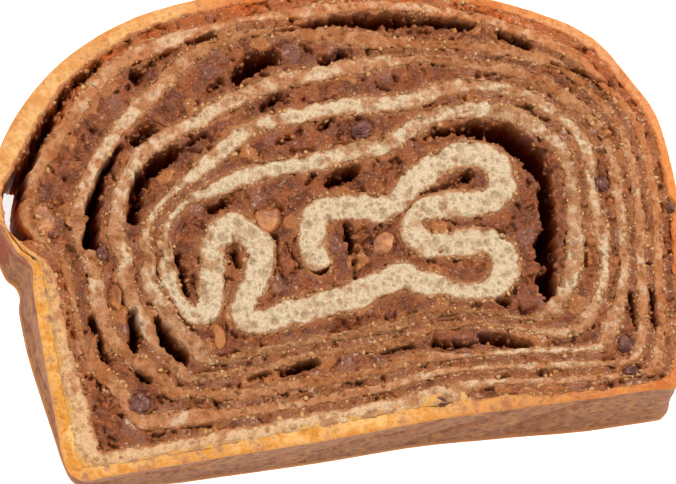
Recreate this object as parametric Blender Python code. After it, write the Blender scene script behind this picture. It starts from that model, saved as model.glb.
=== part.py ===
"""Potica: one thick slice of walnut roll baked in a loaf tin.

The slice lies on its back with the cut face up. X runs along the base crust, Y from the base crust to the
dome and Z through the thickness, with the origin under the middle. Sizes are in millimetres until a mesh is
made. One sheet of dough is folded in the heart, then rolled clockwise six turns. Its last turn is the crust.
"""
import math

import bmesh
import bpy
import numpy as np
from mathutils import Matrix, Vector, noise

MM = 0.001
THICKNESS = 18.0
GAP = 0.35                      # clearance between neighbouring solids
BOX_CENTRE = (0.05, 0.15)       # middle of the outline's box, which becomes the origin

HEART = (2.4, -4.7)             # middle of the roll
# Outline of the cut face, clockwise from the left wall: the crease, the overhanging crust, dome and base.
LOAF_OUTLINE = [
    (-54.9, -30), (-55.0, -18), (-54.8, -7), (-54.5, -2.6), (-55.4, -0.2), (-57.4, 2.4), (-59.1, 9),
    (-58.2, 15.5), (-54.6, 22.6), (-48, 30), (-40, 35.7), (-29, 40.1), (-16, 42.0), (-2, 42.1), (12, 40.9),
    (26, 37.9), (40, 32.2), (51, 25), (56, 17), (59.6, 9.4), (60.6, 0), (60.3, -12), (58.4, -25),
    (55.8, -36), (54.3, -39.2), (50.5, -40.1), (36, -40.1), (15, -39.3), (-8, -40.0), (-30, -40.1),
    (-50, -40.1), (-53.8, -39.4), (-54.8, -36.5),
]

# The folded heart of the sheet, from its inner end to where the first turn starts.
HEART_ROUTE = [
    (-4.7, -9.9), (-5.1, -4), (-3.3, 0.2), (1.5, 0.8), (9.4, -0.4), (13.8, 2.8), (20.5, 6.3), (26.3, 6.8),
    (30, 3.6), (29.2, -0.8), (24.4, -2.2), (16.4, -1.5), (12.8, -4), (14, -7.7), (19.5, -9), (25, -9.1),
    (27.8, -12.5), (25.8, -16.9), (20.8, -17.9), (13, -15), (8.7, -13.2), (0.3, -15.4), (-10.6, -16.5),
    (-16, -17.5), (-19.3, -16.4), (-18.9, -13.6), (-15.9, -9), (-14.4, -4.3), (-18.5, 0.3),
    (-22.3, -2.7), (-23.9, -9.6), (-25.2, -13.4), (-28.2, -14.5),
]

# Where each turn lies at every 15 degrees clockwise from the left, in percent of the way from heart to skin.
STATION_STEP = 15.0
TURN_PLACES = [
    [58.5, 50.5, 40, 34, 31, 30.5, 32, 33.5, 36.5, 52.5, 63, 69,
     67.5, 66, 59.5, 45.5, 45.5, 49, 49.5, 49.5, 49, 50.5, 53, 60.5],
    [64.5, 55.5, 48.5, 47, 49, 49, 50, 51.5, 53.5, 65, 71.5, 76,
     74, 75, 69.5, 54, 53, 57, 58, 57, 56.5, 59, 60, 68],
    [71.5, 65.5, 64, 59.5, 60.5, 63.5, 65, 67, 71, 74, 78.5, 82.8,
     81.5, 81, 77, 70.5, 69.5, 67.5, 70, 70.5, 70, 71, 65.5, 78.5],
    [81, 75.5, 73.5, 74.5, 80.5, 83.5, 80.5, 77, 77, 81.5, 86, 88,
     87.3, 86.2, 86, 79, 76.5, 77, 79, 79, 79.5, 79.5, 77, 87],
    [89, 90, 86.5, 88.5, 88, 89, 89.5, 91, 91, 91.5, 91.5, 93,
     92.6, 91.5, 91.5, 88, 84, 85.5, 87, 87.5, 88.5, 90, 92, 92.5],
    [93.5] + [100] * 23,
]
BEFORE_FIRST_TURN = 57.0
LAST_TURN_END = 2161.0          # degrees, just past the left, under the overhang
HEART_DEGREES = -10.0           # stands for the folded heart, before the first turn

# Thickness of the sheet: in the heart, then by degrees of roll.
HEART_THICKNESS = 5.0
TIGHTEST = 0.2                  # least share of its length that a bend keeps on its inner face
ROLL_THICKNESS = [
    (0, 2.9), (360, 2.6), (720, 2.4), (1080, 2.2), (1440, 2.2), (1640, 2.4), (1690, 2.9), (1785, 3.2),
    (1798, 3.2), (1812, 2.0), (1900, 2.0), (1930, 2.4), (1965, 1.9), (1990, 2.2), (2030, 2.9),
    (2110, 2.9), (2140, 2.5), (2161, 2.2),
]
CRUST_START = 1805.0            # degrees from which the sheet's outer side is crust
CREST_RISE = 0.27               # how far the middle of the sheet swells above the cut face
RIM_DROP, RIM_TILT = 0.3, 0.2   # how far its edges lie below the cut face, and waver
CRUST_DENT, LAYER_DENT = 0.25, 0.12
TOUCHING_ROOM = 0.45            # least space between layers that touch
FILLED_ROOM = 1.35              # least space between layers with filling between them
FILLING_END = 1686.0            # degrees, where the last of the filling ends
FILLING_DROP = 0.9              # how far the filling lies below the cut face
FILLING_CRUMBS = 0.6            # how far its crumbs rise and fall
STATIONS_PER_TURN = 70

# Hollows beside a layer: degrees of roll from and to, share of the gap that stays filled, filling's height.
CAVITIES = [
    (8, 16, 0.0, 1.0, 0.75), (64, 72, 0.0, 0.45, 0.9), (82, 88, 0.55, 1.0, 0.9), (188, 203, 0.5, 1.0, 0.9),
    (374, 392, 0.62, 1.0, 0.8), (426, 436, 0.0, 0.5, 0.9), (586, 604, 0.0, 0.55, 0.9),
    (612, 632, 0.3, 1.0, 0.85), (652, 678, 0.0, 0.4, 0.9), (691, 702, 0.45, 1.0, 0.9),
    (704, 714, 0.6, 1.0, 0.9), (722, 760, 0.55, 1.0, 0.85), (776, 797, 0.55, 1.0, 0.8),
    (838, 856, 0.0, 0.6, 0.9), (1052, 1070, 0.45, 1.0, 0.9), (1135, 1150, 0.0, 0.5, 0.9),
    (1160, 1222, 0.0, 0.6, 0.8), (1278, 1294, 0.4, 1.0, 0.9), (1415, 1421, 0.5, 1.0, 0.9),
    (1440, 1498, 0.0, 1.0, 0.4), (1586, 1600, 0.0, 0.5, 0.8),
]
CAVITY_RAMP = 4.0               # degrees over which a hollow opens
OPEN_SLOT = (1447.0, 1470.0)    # stretch under the crust where light comes through

# The deep hollow right of the heart, one inside the first fold and one above it.
HEART_HOLLOWS = [
    [(20, 11.4), (25, 12.6), (30, 12), (34, 10.4), (37.5, 7.5), (39, 4.5), (38.6, -3), (37.8, -9),
     (36.8, -14), (35.6, -19.5), (33.8, -21.6), (32.4, -19.6), (32.6, -17), (35.2, -15.4), (32.6, -13.4),
     (33.4, -10.8), (35.2, -9), (35.4, -3), (36.6, 0.4), (33, 5.2), (29, 9.4), (24, 10.3)],
    [(-0.6, -2.4), (3, -2.6), (2.9, -7.4), (1.8, -12), (0.6, -8)],
    [(0, 6.2), (3, 8.2), (6, 7), (5.4, 4.8), (2, 5)],
]
HOLLOW_FLOOR = 5.0
HEART_CELL = 1.85
SMALLEST_CRUMB = 14.0           # mm2, filling islands smaller than this are left out

# Raisins and walnut pieces: place, length, width, turn in degrees.
RAISINS = [
    (7.2, 14.4, 4.8, 3.8, 10), (45.6, -31.0, 4.4, 3.6, 70), (45.6, -36.0, 3.6, 2.2, 0),
    (-40.0, -28.6, 4.8, 4.2, 80), (11.6, -36.2, 4.0, 2.6, -20), (47.6, -1.8, 3.6, 2.8, 80),
    (-41.8, -1.2, 4.2, 2.2, 80), (58.8, -8.0, 3.0, 1.8, 85),
]
WALNUTS = [
    (-49.2, 6.6, 6.0, 3.6, 75), (-11.8, 1.2, 5.8, 4.8, 70), (-40.9, -9.2, 5.0, 2.8, 85),
    (-24.6, -18.4, 5.4, 2.8, 95), (7.2, -6.8, 4.8, 4.2, 30), (50.2, 6.8, 3.0, 2.8, 20),
]
MORSEL_DEPTH = 4.0
MORSEL_RISE = 0.5               # how far a morsel stands above the cut face
MORSEL_LUMPS = 0.09             # share of its size that a morsel's lumps rise and fall
POCKET_STRETCH = 1.12           # so that the coarse pocket clears the morsel's rounder sides

# How the far face lies beside the cut face: pushed out left under the overhang, in at the lower left corner.
REAR_LEFT = [(-40, 2.6), (-30, 1.4), (-12, -0.2), (2, -1.6), (20, -0.6), (40, 0.0)]
REAR_BASE = [(-54, 2.6), (-45, 1.5), (-34, 0.8), (6, -0.1), (40, -1.6), (56, -1.6)]


def srgb(hex_colour):
    """Linear colour of an sRGB hex value."""
    parts = [int(hex_colour[i:i + 2], 16) / 255 for i in (1, 3, 5)]
    return [c / 12.92 if c <= 0.04045 else ((c + 0.055) / 1.055) ** 2.4 for c in parts] + [1.0]


def material(name, colour, roughness):
    made = bpy.data.materials.new(name)
    made.use_nodes = True
    shader = made.node_tree.nodes["Principled BSDF"]
    shader.inputs["Base Color"].default_value = srgb(colour)
    shader.inputs["Roughness"].default_value = roughness
    shader.inputs["Metallic"].default_value = 0.0
    return made


def catmull(a, b, c, d, t):
    """A Catmull-Rom curve's place between b and c."""
    return 0.5 * (2 * b + (c - a) * t + (2 * a - 5 * b + 4 * c - d) * t ** 2
                  + (3 * b - a - 3 * c + d) * t ** 3)


def smooth_line(points, step, closed=False):
    """A smooth curve through the points, with a point about every step."""
    pts = [np.array(p, float) for p in points]
    count = len(pts)
    if closed:
        pts = [pts[-1]] + pts + pts[:2]
    else:
        pts = [2 * pts[0] - pts[1]] + pts + [2 * pts[-1] - pts[-2]]
        count -= 1
    line = []
    for i in range(count):
        a, b, c, d = pts[i:i + 4]
        parts = max(2, int(math.ceil(np.hypot(*(c - b)) / step)))
        for k in range(parts):
            line.append(catmull(a, b, c, d, k / parts))
    if not closed:
        line.append(pts[-2])
    return np.array(line)


OUTLINE = smooth_line(LOAF_OUTLINE, 0.4, closed=True)
OUTLINE_ANGLE = (180 - np.degrees(np.arctan2(OUTLINE[:, 1] - HEART[1], OUTLINE[:, 0] - HEART[0]))) % 360
OUTLINE_RADIUS = np.hypot(OUTLINE[:, 0] - HEART[0], OUTLINE[:, 1] - HEART[1])
BY_ANGLE = np.argsort(OUTLINE_ANGLE)
PLACES = [BEFORE_FIRST_TURN - 1, BEFORE_FIRST_TURN] + sum(TURN_PLACES, []) + [100, 100, 100]


def skin_radius(degrees):
    """Distance from the middle of the roll to the outline."""
    return np.interp(degrees % 360, OUTLINE_ANGLE[BY_ANGLE], OUTLINE_RADIUS[BY_ANGLE], period=360)


def roll_thickness(degrees):
    return float(np.interp(degrees, *zip(*ROLL_THICKNESS)))


def roll_point(degrees):
    """The middle of the sheet after this many degrees of roll, clockwise from the left."""
    station = degrees / STATION_STEP + 2
    first = min(max(int(math.floor(station)), 1), len(PLACES) - 3)
    percent = catmull(*PLACES[first - 1:first + 3], station - first)
    radius = skin_radius(degrees)
    reach = min(radius * percent / 100, radius - roll_thickness(degrees) / 2)
    angle = math.radians(180 - degrees)
    return np.array([HEART[0] + reach * math.cos(angle), HEART[1] + reach * math.sin(angle)])


def station_angles():
    """Angles of one turn, closer together where the outline bends."""
    fine = np.arange(0, 360.5, 0.5)
    edge = np.array([HEART[0] - skin_radius(fine) * np.cos(np.radians(fine)),
                     HEART[1] + skin_radius(fine) * np.sin(np.radians(fine))]).T
    run = np.diff(edge, axis=0)
    heading = np.unwrap(np.arctan2(run[:, 1], run[:, 0]))
    bend = np.abs(np.diff(heading, append=heading[-1]))
    measure = np.concatenate([[0], np.cumsum(np.hypot(*run.T) + 6.0 * bend)])
    return np.interp(np.arange(STATIONS_PER_TURN) / STATIONS_PER_TURN * measure[-1], measure, fine)


class Sheet:
    """The rolled sheet: its middle line, outward directions and half thickness at each station."""

    def __init__(self):
        lead_in = [roll_point(a) for a in (-9, -4, 0)]
        heart = smooth_line(HEART_ROUTE + lead_in, 0.5)
        turns = [a for k in range(6) for a in station_angles() + 360 * k if a > 1] + [LAST_TURN_END]
        fine_turns = np.arange(1, LAST_TURN_END, 0.75)
        self.fine = np.vstack([heart, [roll_point(a) for a in fine_turns]])
        self.fine_degrees = np.concatenate([np.full(len(heart), HEART_DEGREES), fine_turns])
        self.heart_end = len(heart)
        self.fine_length = np.concatenate([[0], np.cumsum(np.hypot(*np.diff(self.fine, axis=0).T))])
        kept = self.thin(heart)
        self.points = np.vstack([heart[kept], [roll_point(a) for a in turns]])
        self.degrees = np.array([HEART_DEGREES] * len(kept) + turns)
        ahead = np.array([self.fine[i + 2] - self.fine[max(i - 2, 0)] for i in kept]
                         + [roll_point(a + 1) - roll_point(a - 1) for a in turns])
        ahead /= np.linalg.norm(ahead, axis=1)[:, None]
        self.side = np.stack([-ahead[:, 1], ahead[:, 0]], axis=1)
        self.half = self.eased(self.halves())

    @staticmethod
    def thin(line):
        """Keeps a point about every quarter of the bend's radius."""
        kept, since = [0], 0.0
        for i in range(1, len(line) - 1):
            step = np.hypot(*(line[i] - line[i - 1]))
            a, b = line[i] - line[max(i - 3, 0)], line[min(i + 3, len(line) - 1)] - line[i]
            bend = abs(math.atan2(a[0] * b[1] - a[1] * b[0], a @ b)) / max(np.hypot(*a), 0.1)
            since += step * (0.36 + 2.1 * bend)
            if since > 1.5:
                kept.append(i)
                since = 0.0
        return kept

    def halves(self):
        """Half the wanted thickness, or less where a neighbouring layer lies close."""
        halves = []
        for point, degrees in zip(self.points, self.degrees):
            away = np.hypot(*(self.fine - point).T)
            if degrees < 0:
                wanted = HEART_THICKNESS
                far_along = np.abs(self.fine_length - self.fine_length[int(np.argmin(away))]) > 9.0
                spaces = [away[far_along].min() - TOUCHING_ROOM]
            else:
                wanted = roll_thickness(degrees)
                outside = np.abs(self.fine_degrees - degrees - 360) < 60
                within = np.abs(self.fine_degrees - degrees + 360) < 60
                if degrees < 360:
                    early = self.fine_length < self.fine_length[self.heart_end] - 12
                    within = (self.fine_degrees < 0) & early
                spaces = [away[beside].min() - (FILLED_ROOM if filled else TOUCHING_ROOM)
                          for beside, filled in ((outside, degrees < FILLING_END),
                                                 (within, 350 < degrees < FILLING_END + 360)) if beside.any()]
            halves.append(min([wanted] + spaces) / 2)
        return np.array(halves)

    def eased(self, half):
        """Thins the sheet in its tightest bends, so that its inner face never folds over itself."""
        ahead = np.diff(self.points, axis=0)
        least = TIGHTEST * np.sum(ahead ** 2, axis=1)
        for _ in range(40):
            for hand in (-1, 1):
                face = self.points + hand * self.side * half[:, None]
                folded = np.nonzero(np.sum(np.diff(face, axis=0) * ahead, axis=1) < least)[0]
                half[folded] *= 0.96
                half[folded + 1] *= 0.96
        return half

    def at(self, degrees):
        """Middle, outward direction and half thickness at an angle of roll."""
        ahead = roll_point(degrees + 1) - roll_point(degrees - 1)
        ahead /= np.hypot(*ahead)
        turned = self.degrees > 0
        half = float(np.interp(degrees, self.degrees[turned], self.half[turned]))
        return roll_point(degrees), np.array([-ahead[1], ahead[0]]), half


def rear_shift(x, y):
    """How far the far face lies off the cut face at this place."""
    at_left = max(0.0, min(1.0, (-25 - x) / 25))
    at_base = max(0.0, min(1.0, (-15 - y) / 20))
    return (at_left * np.interp(y, *zip(*REAR_LEFT)), at_base * np.interp(x, *zip(*REAR_BASE)))


def place(x, y, z):
    """A point of the slice in metres, leaned by its depth behind the cut face."""
    depth = min(max(1 - z / THICKNESS, 0.0), 1.0)
    dx, dy = rear_shift(x, y)
    return Vector((x + dx * depth - BOX_CENTRE[0], y + dy * depth - BOX_CENTRE[1], z)) * MM


def crumb(x, y, size, seed):
    """A smooth bump pattern between about -1 and 1."""
    return noise.fractal(Vector((x / size, y / size, seed)), 0.7, 2.0, 3)


def add_object(name, mesh_source, surface):
    """Makes a triangulated object from a bmesh or a mesh in place."""
    mesh = bpy.data.meshes.new(name)
    bmesh.ops.triangulate(mesh_source, faces=mesh_source.faces[:])
    bmesh.ops.recalc_face_normals(mesh_source, faces=mesh_source.faces[:])
    mesh_source.to_mesh(mesh)
    mesh_source.free()
    mesh.materials.append(surface)
    thing = bpy.data.objects.new(name, mesh)
    bpy.context.collection.objects.link(thing)
    return thing


def ring_strip(rings):
    """A closed bar through rings of points, each ring one cross-section."""
    bar = bmesh.new()
    rows = [[bar.verts.new(p) for p in ring] for ring in rings]
    size = len(rows[0])
    for near, far in zip(rows, rows[1:]):
        for i in range(size):
            bar.faces.new((near[i], near[(i + 1) % size], far[(i + 1) % size], far[i]))
    bar.faces.new(rows[0])
    bar.faces.new(list(reversed(rows[-1])))
    return bar


def make_dough(sheet, surface):
    """The whole rolled sheet as one bar, rough on top, its crust's wall gently dented."""
    rings = []
    for point, side, half, degrees in zip(sheet.points, sheet.side, sheet.half, sheet.degrees):
        inner, outer = point - side * half, point + side * half
        crest = THICKNESS + CREST_RISE * (1 + crumb(*point, 3.0, 1.0))
        rim = THICKNESS - RIM_DROP
        tilt = RIM_TILT * crumb(*outer, 2.0, 5.0)
        dent = CRUST_DENT * (1 - crumb(*point, 6.0, 9.0)) if degrees > CRUST_START else LAYER_DENT
        belly = outer - side * dent
        rings.append([place(*inner, rim + tilt), place(*point, crest), place(*outer, rim - tilt),
                      place(*belly, THICKNESS * 0.5), place(*outer, 0.0), place(*inner, 0.0)])
    return add_object("dough", ring_strip(rings), surface)


def cavity_at(degrees):
    """Share of the gap kept, from and to, and the filling's height, at an angle of roll."""
    start, end, level = 0.0, 1.0, 1.0
    for first, last, low, high, height in CAVITIES:
        inside = min(degrees - first, last - degrees) / CAVITY_RAMP + 0.5
        open_share = max(0.0, min(1.0, inside))
        start = max(start, low * open_share)
        end = min(end, 1 - (1 - high) * open_share)
        level = min(level, 1 - (1 - height) * open_share)
    return start, end, level


def make_rolled_filling(sheet, surface):
    """The ribbons of filling between one turn and the next, parted where the crust stands open."""
    angles = [a for k in range(-1, 6) for a in station_angles() + 360 * k]
    stretches = [(0.0, OPEN_SLOT[0]), (OPEN_SLOT[1], FILLING_END)]
    ribbons = []
    for number, (first, last) in enumerate(stretches, start=1):
        rings = []
        for degrees in [first] + [a for a in angles if first + 2 < a < last - 2] + [last]:
            point, side, half = sheet.at(degrees)
            next_point, next_side, next_half = sheet.at(degrees + 360)
            inner = point + side * (half + GAP)
            outer = next_point - next_side * (next_half + GAP)
            low, high, level = cavity_at(degrees)
            inner_top, outer_top = inner + (outer - inner) * low, inner + (outer - inner) * high
            top = (THICKNESS - FILLING_DROP) * level
            rings.append([place(*inner_top, top + FILLING_CRUMBS * crumb(*inner_top, 2.5, 3.0)),
                          place(*outer_top, top + FILLING_CRUMBS * crumb(*outer_top, 2.5, 4.0)),
                          place(*outer, 0.0), place(*inner, 0.0)])
        ribbons.append(add_object(f"filling_{number}", ring_strip(rings), surface))
    return ribbons


def inside(polygon, x, y):
    """Whether points lie in a polygon, by the crossings of a ray."""
    hit = np.zeros(np.shape(x), bool)
    for (x0, y0), (x1, y1) in zip(polygon, np.roll(polygon, -1, axis=0)):
        crosses = ((y0 > y) != (y1 > y)) & (x < (x1 - x0) * (y - y0) / (y1 - y0 + 1e-12) + x0)
        hit ^= crosses
    return hit


def heart_room(sheet, x, y):
    """Space to the nearest face of the sheet, less the gap, or a negative number outside the first turn."""
    loop = np.array([roll_point(a) for a in np.arange(0, 360, 2)])
    marks = np.concatenate([[0], np.cumsum(np.hypot(*np.diff(sheet.points, axis=0).T))])
    fine_half = np.interp(sheet.fine_length, marks * sheet.fine_length[-1] / marks[-1], sheet.half)
    room = np.full(x.shape, 1e3)
    for point, half in zip(sheet.fine, fine_half):
        room = np.minimum(room, np.hypot(x - point[0], y - point[1]) - half)
    start, end = loop[0], loop[-1]
    along = end - start
    share = np.clip(((x - start[0]) * along[0] + (y - start[1]) * along[1]) / (along @ along), 0, 1)
    door = np.hypot(x - start[0] - share * along[0], y - start[1] - share * along[1])
    room = np.minimum(room - GAP - 0.05, door - GAP)
    return np.where(inside(loop, x, y), room, -np.abs(room) - 0.3)


def edge_places(sheet, x, y, room):
    """Where the filling's edge crosses each line of the grid, closed in on by halving."""
    pairs = []
    for i in range(x.shape[0] - 1):
        for j in range(x.shape[1] - 1):
            near = [(i + 1, j), (i, j + 1), (i + 1, j + 1)]
            pairs += [((i, j), n) for n in near]
            pairs += [((i + 1, j), (i + 1, j + 1)), ((i, j + 1), (i + 1, j + 1))]
    pairs = [p for p in dict.fromkeys(pairs) if (room[p[0]] > 0) != (room[p[1]] > 0)]
    spots = np.array([[(x[k], y[k]) if room[k] > 0 else (x[m], y[m]) for k, m in pairs],
                      [(x[m], y[m]) if room[k] > 0 else (x[k], y[k]) for k, m in pairs]])
    clear, blocked = spots
    for _ in range(6):
        middle = (clear + blocked) / 2
        is_clear = heart_room(sheet, middle[:, 0], middle[:, 1])[:, None] > 0
        clear, blocked = np.where(is_clear, middle, clear), np.where(is_clear, blocked, middle)
    return dict(zip(pairs, clear))


def make_heart_filling(sheet, surface):
    """The filling among the folds, traced on a grid where the sheet leaves room, one object an island."""
    xs, ys = np.arange(-34, 44, HEART_CELL), np.arange(-26, 20, HEART_CELL)
    x, y = np.meshgrid(xs, ys, indexing="ij")
    room = heart_room(sheet, x, y)
    edges = edge_places(sheet, x, y, room)
    top, made = bmesh.new(), {}

    def vertex(key):
        if key not in made:
            spot = edges[key] if key in edges else (x[key], y[key])
            made[key] = top.verts.new((spot[0], spot[1], 0))
        return made[key]

    for i in range(len(xs) - 1):
        for j in range(len(ys) - 1):
            for triangle in (((i, j), (i + 1, j), (i + 1, j + 1)), ((i, j), (i + 1, j + 1), (i, j + 1))):
                ring = []
                for a, b in zip(triangle, triangle[1:] + triangle[:1]):
                    if room[a] > 0:
                        ring.append(vertex(a))
                    if (room[a] > 0) != (room[b] > 0):
                        ring.append(vertex((min(a, b), max(a, b))))
                if len(ring) > 2:
                    top.faces.new(ring)
    bmesh.ops.remove_doubles(top, verts=top.verts[:], dist=0.2)
    return split_islands(top, surface)


def split_islands(top, surface):
    """Raises each island of a flat mesh to the cut face and gives it its depth."""
    waiting, made = set(top.faces), []
    while waiting:
        island, edge = [], [waiting.pop()]
        while edge:
            face = edge.pop()
            island.append(face)
            for other in {f for v in face.verts for f in v.link_faces} & waiting:
                waiting.remove(other)
                edge.append(other)
        if sum(f.calc_area() for f in island) > SMALLEST_CRUMB:
            made.append(island)
    made.sort(key=len, reverse=True)
    objects = []
    for number, island in enumerate(made, start=3):
        objects.append(add_object(f"filling_{number}", raised(island), surface))
    top.free()
    return objects


def raised(island):
    """A closed solid over one island: a rough top with the hollows sunk in it and a flat underside."""
    block = bmesh.new()
    copies = {v: block.verts.new(v.co) for v in dict.fromkeys(v for face in island for v in face.verts)}
    for face in island:
        block.faces.new([copies[v] for v in face.verts])
    base = block.faces[:]
    lifted = bmesh.ops.extrude_face_region(block, geom=base)["geom"]
    tops = {v for v in lifted if isinstance(v, bmesh.types.BMVert)}
    for v in block.verts:
        px, py = v.co.x, v.co.y
        height = 0.0
        if v in tops:
            sunk = any(inside(np.array(h), np.array(px), np.array(py)) for h in HEART_HOLLOWS)
            height = HOLLOW_FLOOR if sunk else THICKNESS - FILLING_DROP
            height += FILLING_CRUMBS * crumb(px, py, 2.5, 3.0)
        v.co = place(px, py, height)
    floor = [v for v in block.verts if v not in tops]
    inner = [v for v in floor if not any(e.other_vert(v) in tops for e in v.link_edges)]
    bmesh.ops.dissolve_verts(block, verts=inner)
    return block


def morsel(name, x, y, length, width, turn, surface):
    """A lumpy nut piece or raisin lying in the cut face."""
    lump = bmesh.new()
    bmesh.ops.create_icosphere(lump, subdivisions=2, radius=1.0)
    sizes = Vector((length, width, MORSEL_DEPTH)) / 2
    for v in lump.verts:
        lumpy = 1 + MORSEL_LUMPS * noise.noise(v.co * 1.7 + Vector((x, y, 0)))
        v.co = settled(x, y, turn, v.co * sizes * lumpy)
    return add_object(name, lump, surface)


def pocket_cutter(x, y, length, width, turn, surface):
    """A coarse ball that clears a morsel by the gap all round."""
    ball = bmesh.new()
    bmesh.ops.create_icosphere(ball, subdivisions=1, radius=1.0)
    sizes = Vector((length, width, MORSEL_DEPTH)) / 2 * POCKET_STRETCH
    for v in ball.verts:
        grown = [math.copysign(GAP, c) if abs(c) > 0.1 else 0.0 for c in v.co]
        v.co = settled(x, y, turn, v.co * sizes + Vector(grown))
    return add_object("pocket", ball, surface)


def settled(x, y, turn, offset):
    """A point of a morsel in the slice, from its offset to the morsel's middle."""
    turned = Matrix.Rotation(math.radians(turn), 3, "Z") @ offset
    return place(x + turned.x, y + turned.y, THICKNESS + MORSEL_RISE - MORSEL_DEPTH / 2 + turned.z)


def cut_pocket(thing, cutter):
    """Takes the pocket out of a solid, so that the morsel lies in it with a gap all round."""
    trim = thing.modifiers.new("pocket", "BOOLEAN")
    trim.operation = "DIFFERENCE"
    trim.solver = "EXACT"
    trim.object = cutter
    evaluated = thing.evaluated_get(bpy.context.evaluated_depsgraph_get())
    cut = bpy.data.meshes.new_from_object(evaluated)
    thing.modifiers.clear()
    thing.data = cut


def boxes_meet(one, other):
    """Whether the boxes round two objects overlap."""
    ranges = []
    for thing in (one, other):
        points = np.array([v.co[:] for v in thing.data.vertices])
        ranges.append((points.min(axis=0), points.max(axis=0)))
    (a_low, a_high), (b_low, b_high) = ranges
    return bool(np.all(a_low < b_high) and np.all(b_low < a_high))


def make_morsels(kind, table, surface, solids):
    """Sets each raisin or nut piece of a table in a pocket of its own."""
    for number, (x, y, length, width, turn) in enumerate(table, start=1):
        pocket = pocket_cutter(x, y, length, width, turn, surface)
        for solid in solids:
            if boxes_meet(solid, pocket):
                cut_pocket(solid, pocket)
        bpy.data.objects.remove(pocket)
        morsel(f"{kind}_{number}", x, y, length, width, turn, surface)


def main():
    for old in list(bpy.data.objects):
        bpy.data.objects.remove(old)
    sheet = Sheet()
    dough = make_dough(sheet, material("sweet_dough", "#D9B67C", 0.75))
    nut_paste = material("walnut_filling", "#8A5430", 0.6)
    solids = [dough] + make_rolled_filling(sheet, nut_paste) + make_heart_filling(sheet, nut_paste)
    make_morsels("raisin", RAISINS, material("raisin_skin", "#3A1D22", 0.35), solids)
    make_morsels("walnut", WALNUTS, material("walnut_kernel", "#B98A5A", 0.6), solids)


main()
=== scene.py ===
"""Dresses the potica slice: porous rolled dough, moist walnut filling, raisins, nut pieces and baked crust.

Places are in the slice's own drawing, in millimetres: X along the base crust, Y from base to dome, Z out of the cut
face. The roll is measured in degrees clockwise from the left, seen from above, and grows past 360 with each turn.
"""

import math

import bmesh
import bpy
import numpy as np
from mathutils import Matrix, Vector


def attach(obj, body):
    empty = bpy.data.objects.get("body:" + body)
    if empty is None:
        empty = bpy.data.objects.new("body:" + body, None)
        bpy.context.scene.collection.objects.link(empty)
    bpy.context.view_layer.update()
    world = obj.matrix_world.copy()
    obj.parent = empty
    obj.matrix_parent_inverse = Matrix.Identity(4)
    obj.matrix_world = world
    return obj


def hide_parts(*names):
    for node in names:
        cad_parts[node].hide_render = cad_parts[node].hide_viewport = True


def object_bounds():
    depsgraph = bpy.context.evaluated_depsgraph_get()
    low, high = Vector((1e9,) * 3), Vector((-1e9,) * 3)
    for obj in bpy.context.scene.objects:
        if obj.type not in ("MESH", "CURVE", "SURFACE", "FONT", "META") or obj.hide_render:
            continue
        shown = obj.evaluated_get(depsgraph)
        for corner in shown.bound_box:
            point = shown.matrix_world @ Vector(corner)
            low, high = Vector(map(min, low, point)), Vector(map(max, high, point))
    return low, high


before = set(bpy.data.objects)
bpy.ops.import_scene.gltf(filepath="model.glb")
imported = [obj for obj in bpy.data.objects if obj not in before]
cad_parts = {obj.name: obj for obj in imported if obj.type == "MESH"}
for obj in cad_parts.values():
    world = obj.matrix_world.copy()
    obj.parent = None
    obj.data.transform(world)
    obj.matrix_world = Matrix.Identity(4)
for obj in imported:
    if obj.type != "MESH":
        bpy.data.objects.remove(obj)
cad_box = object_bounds()

MM = 0.001
THICKNESS = 18.0
BOX_CENTRE = (0.05, 0.15)         # middle of the outline's box, which is the origin
OUTSIDE = -99.0                   # stands for everywhere beyond the crust
INSIDE_BOX = 0.02                 # the finished slice stays this far within the solids' box
FAR_AWAY = 9.0                    # stands for nothing near

# ---- The roll, on the solids' own course, with its thickness and its last end finer than theirs.

HEART = (2.4, -4.7)               # the point that the turns go round
LOAF_OUTLINE = [(-54.9, -30), (-55.0, -18), (-54.8, -7), (-54.5, -2.6), (-55.4, -0.2), (-57.4, 2.4), (-59.1, 9),
                (-58.2, 15.5), (-54.6, 22.6), (-48, 30), (-40, 35.7), (-29, 40.1), (-16, 42.0), (-2, 42.1),
                (12, 40.9), (26, 37.9), (40, 32.2), (51, 25), (56, 17), (59.6, 9.4), (60.6, 0), (60.3, -12),
                (58.4, -25), (55.8, -36), (54.3, -39.2), (50.5, -40.1), (36, -40.1), (15, -39.3), (-8, -40.0),
                (-30, -40.1), (-50, -40.1), (-53.8, -39.4), (-54.8, -36.5)]
HEART_ROUTE = [(-4.7, -9.9), (-5.1, -4), (-3.3, 0.2), (1.5, 0.8), (9.4, -0.4), (13.8, 2.8), (20.5, 6.3), (26.3, 6.8),
               (30, 3.6), (29.2, -0.8), (24.4, -2.2), (16.4, -1.5), (12.8, -4), (14, -7.7), (19.5, -9), (25, -9.1),
               (27.8, -12.5), (25.8, -16.9), (20.8, -17.9), (13, -15), (8.7, -13.2), (0.3, -15.4), (-10.6, -16.5),
               (-16, -17.5), (-19.3, -16.4), (-18.9, -13.6), (-15.9, -9), (-14.4, -4.3), (-18.5, 0.3), (-22.3, -2.7),
               (-23.9, -9.6), (-25.2, -13.4), (-28.2, -14.5)]
STATION_STEP = 15.0
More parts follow.
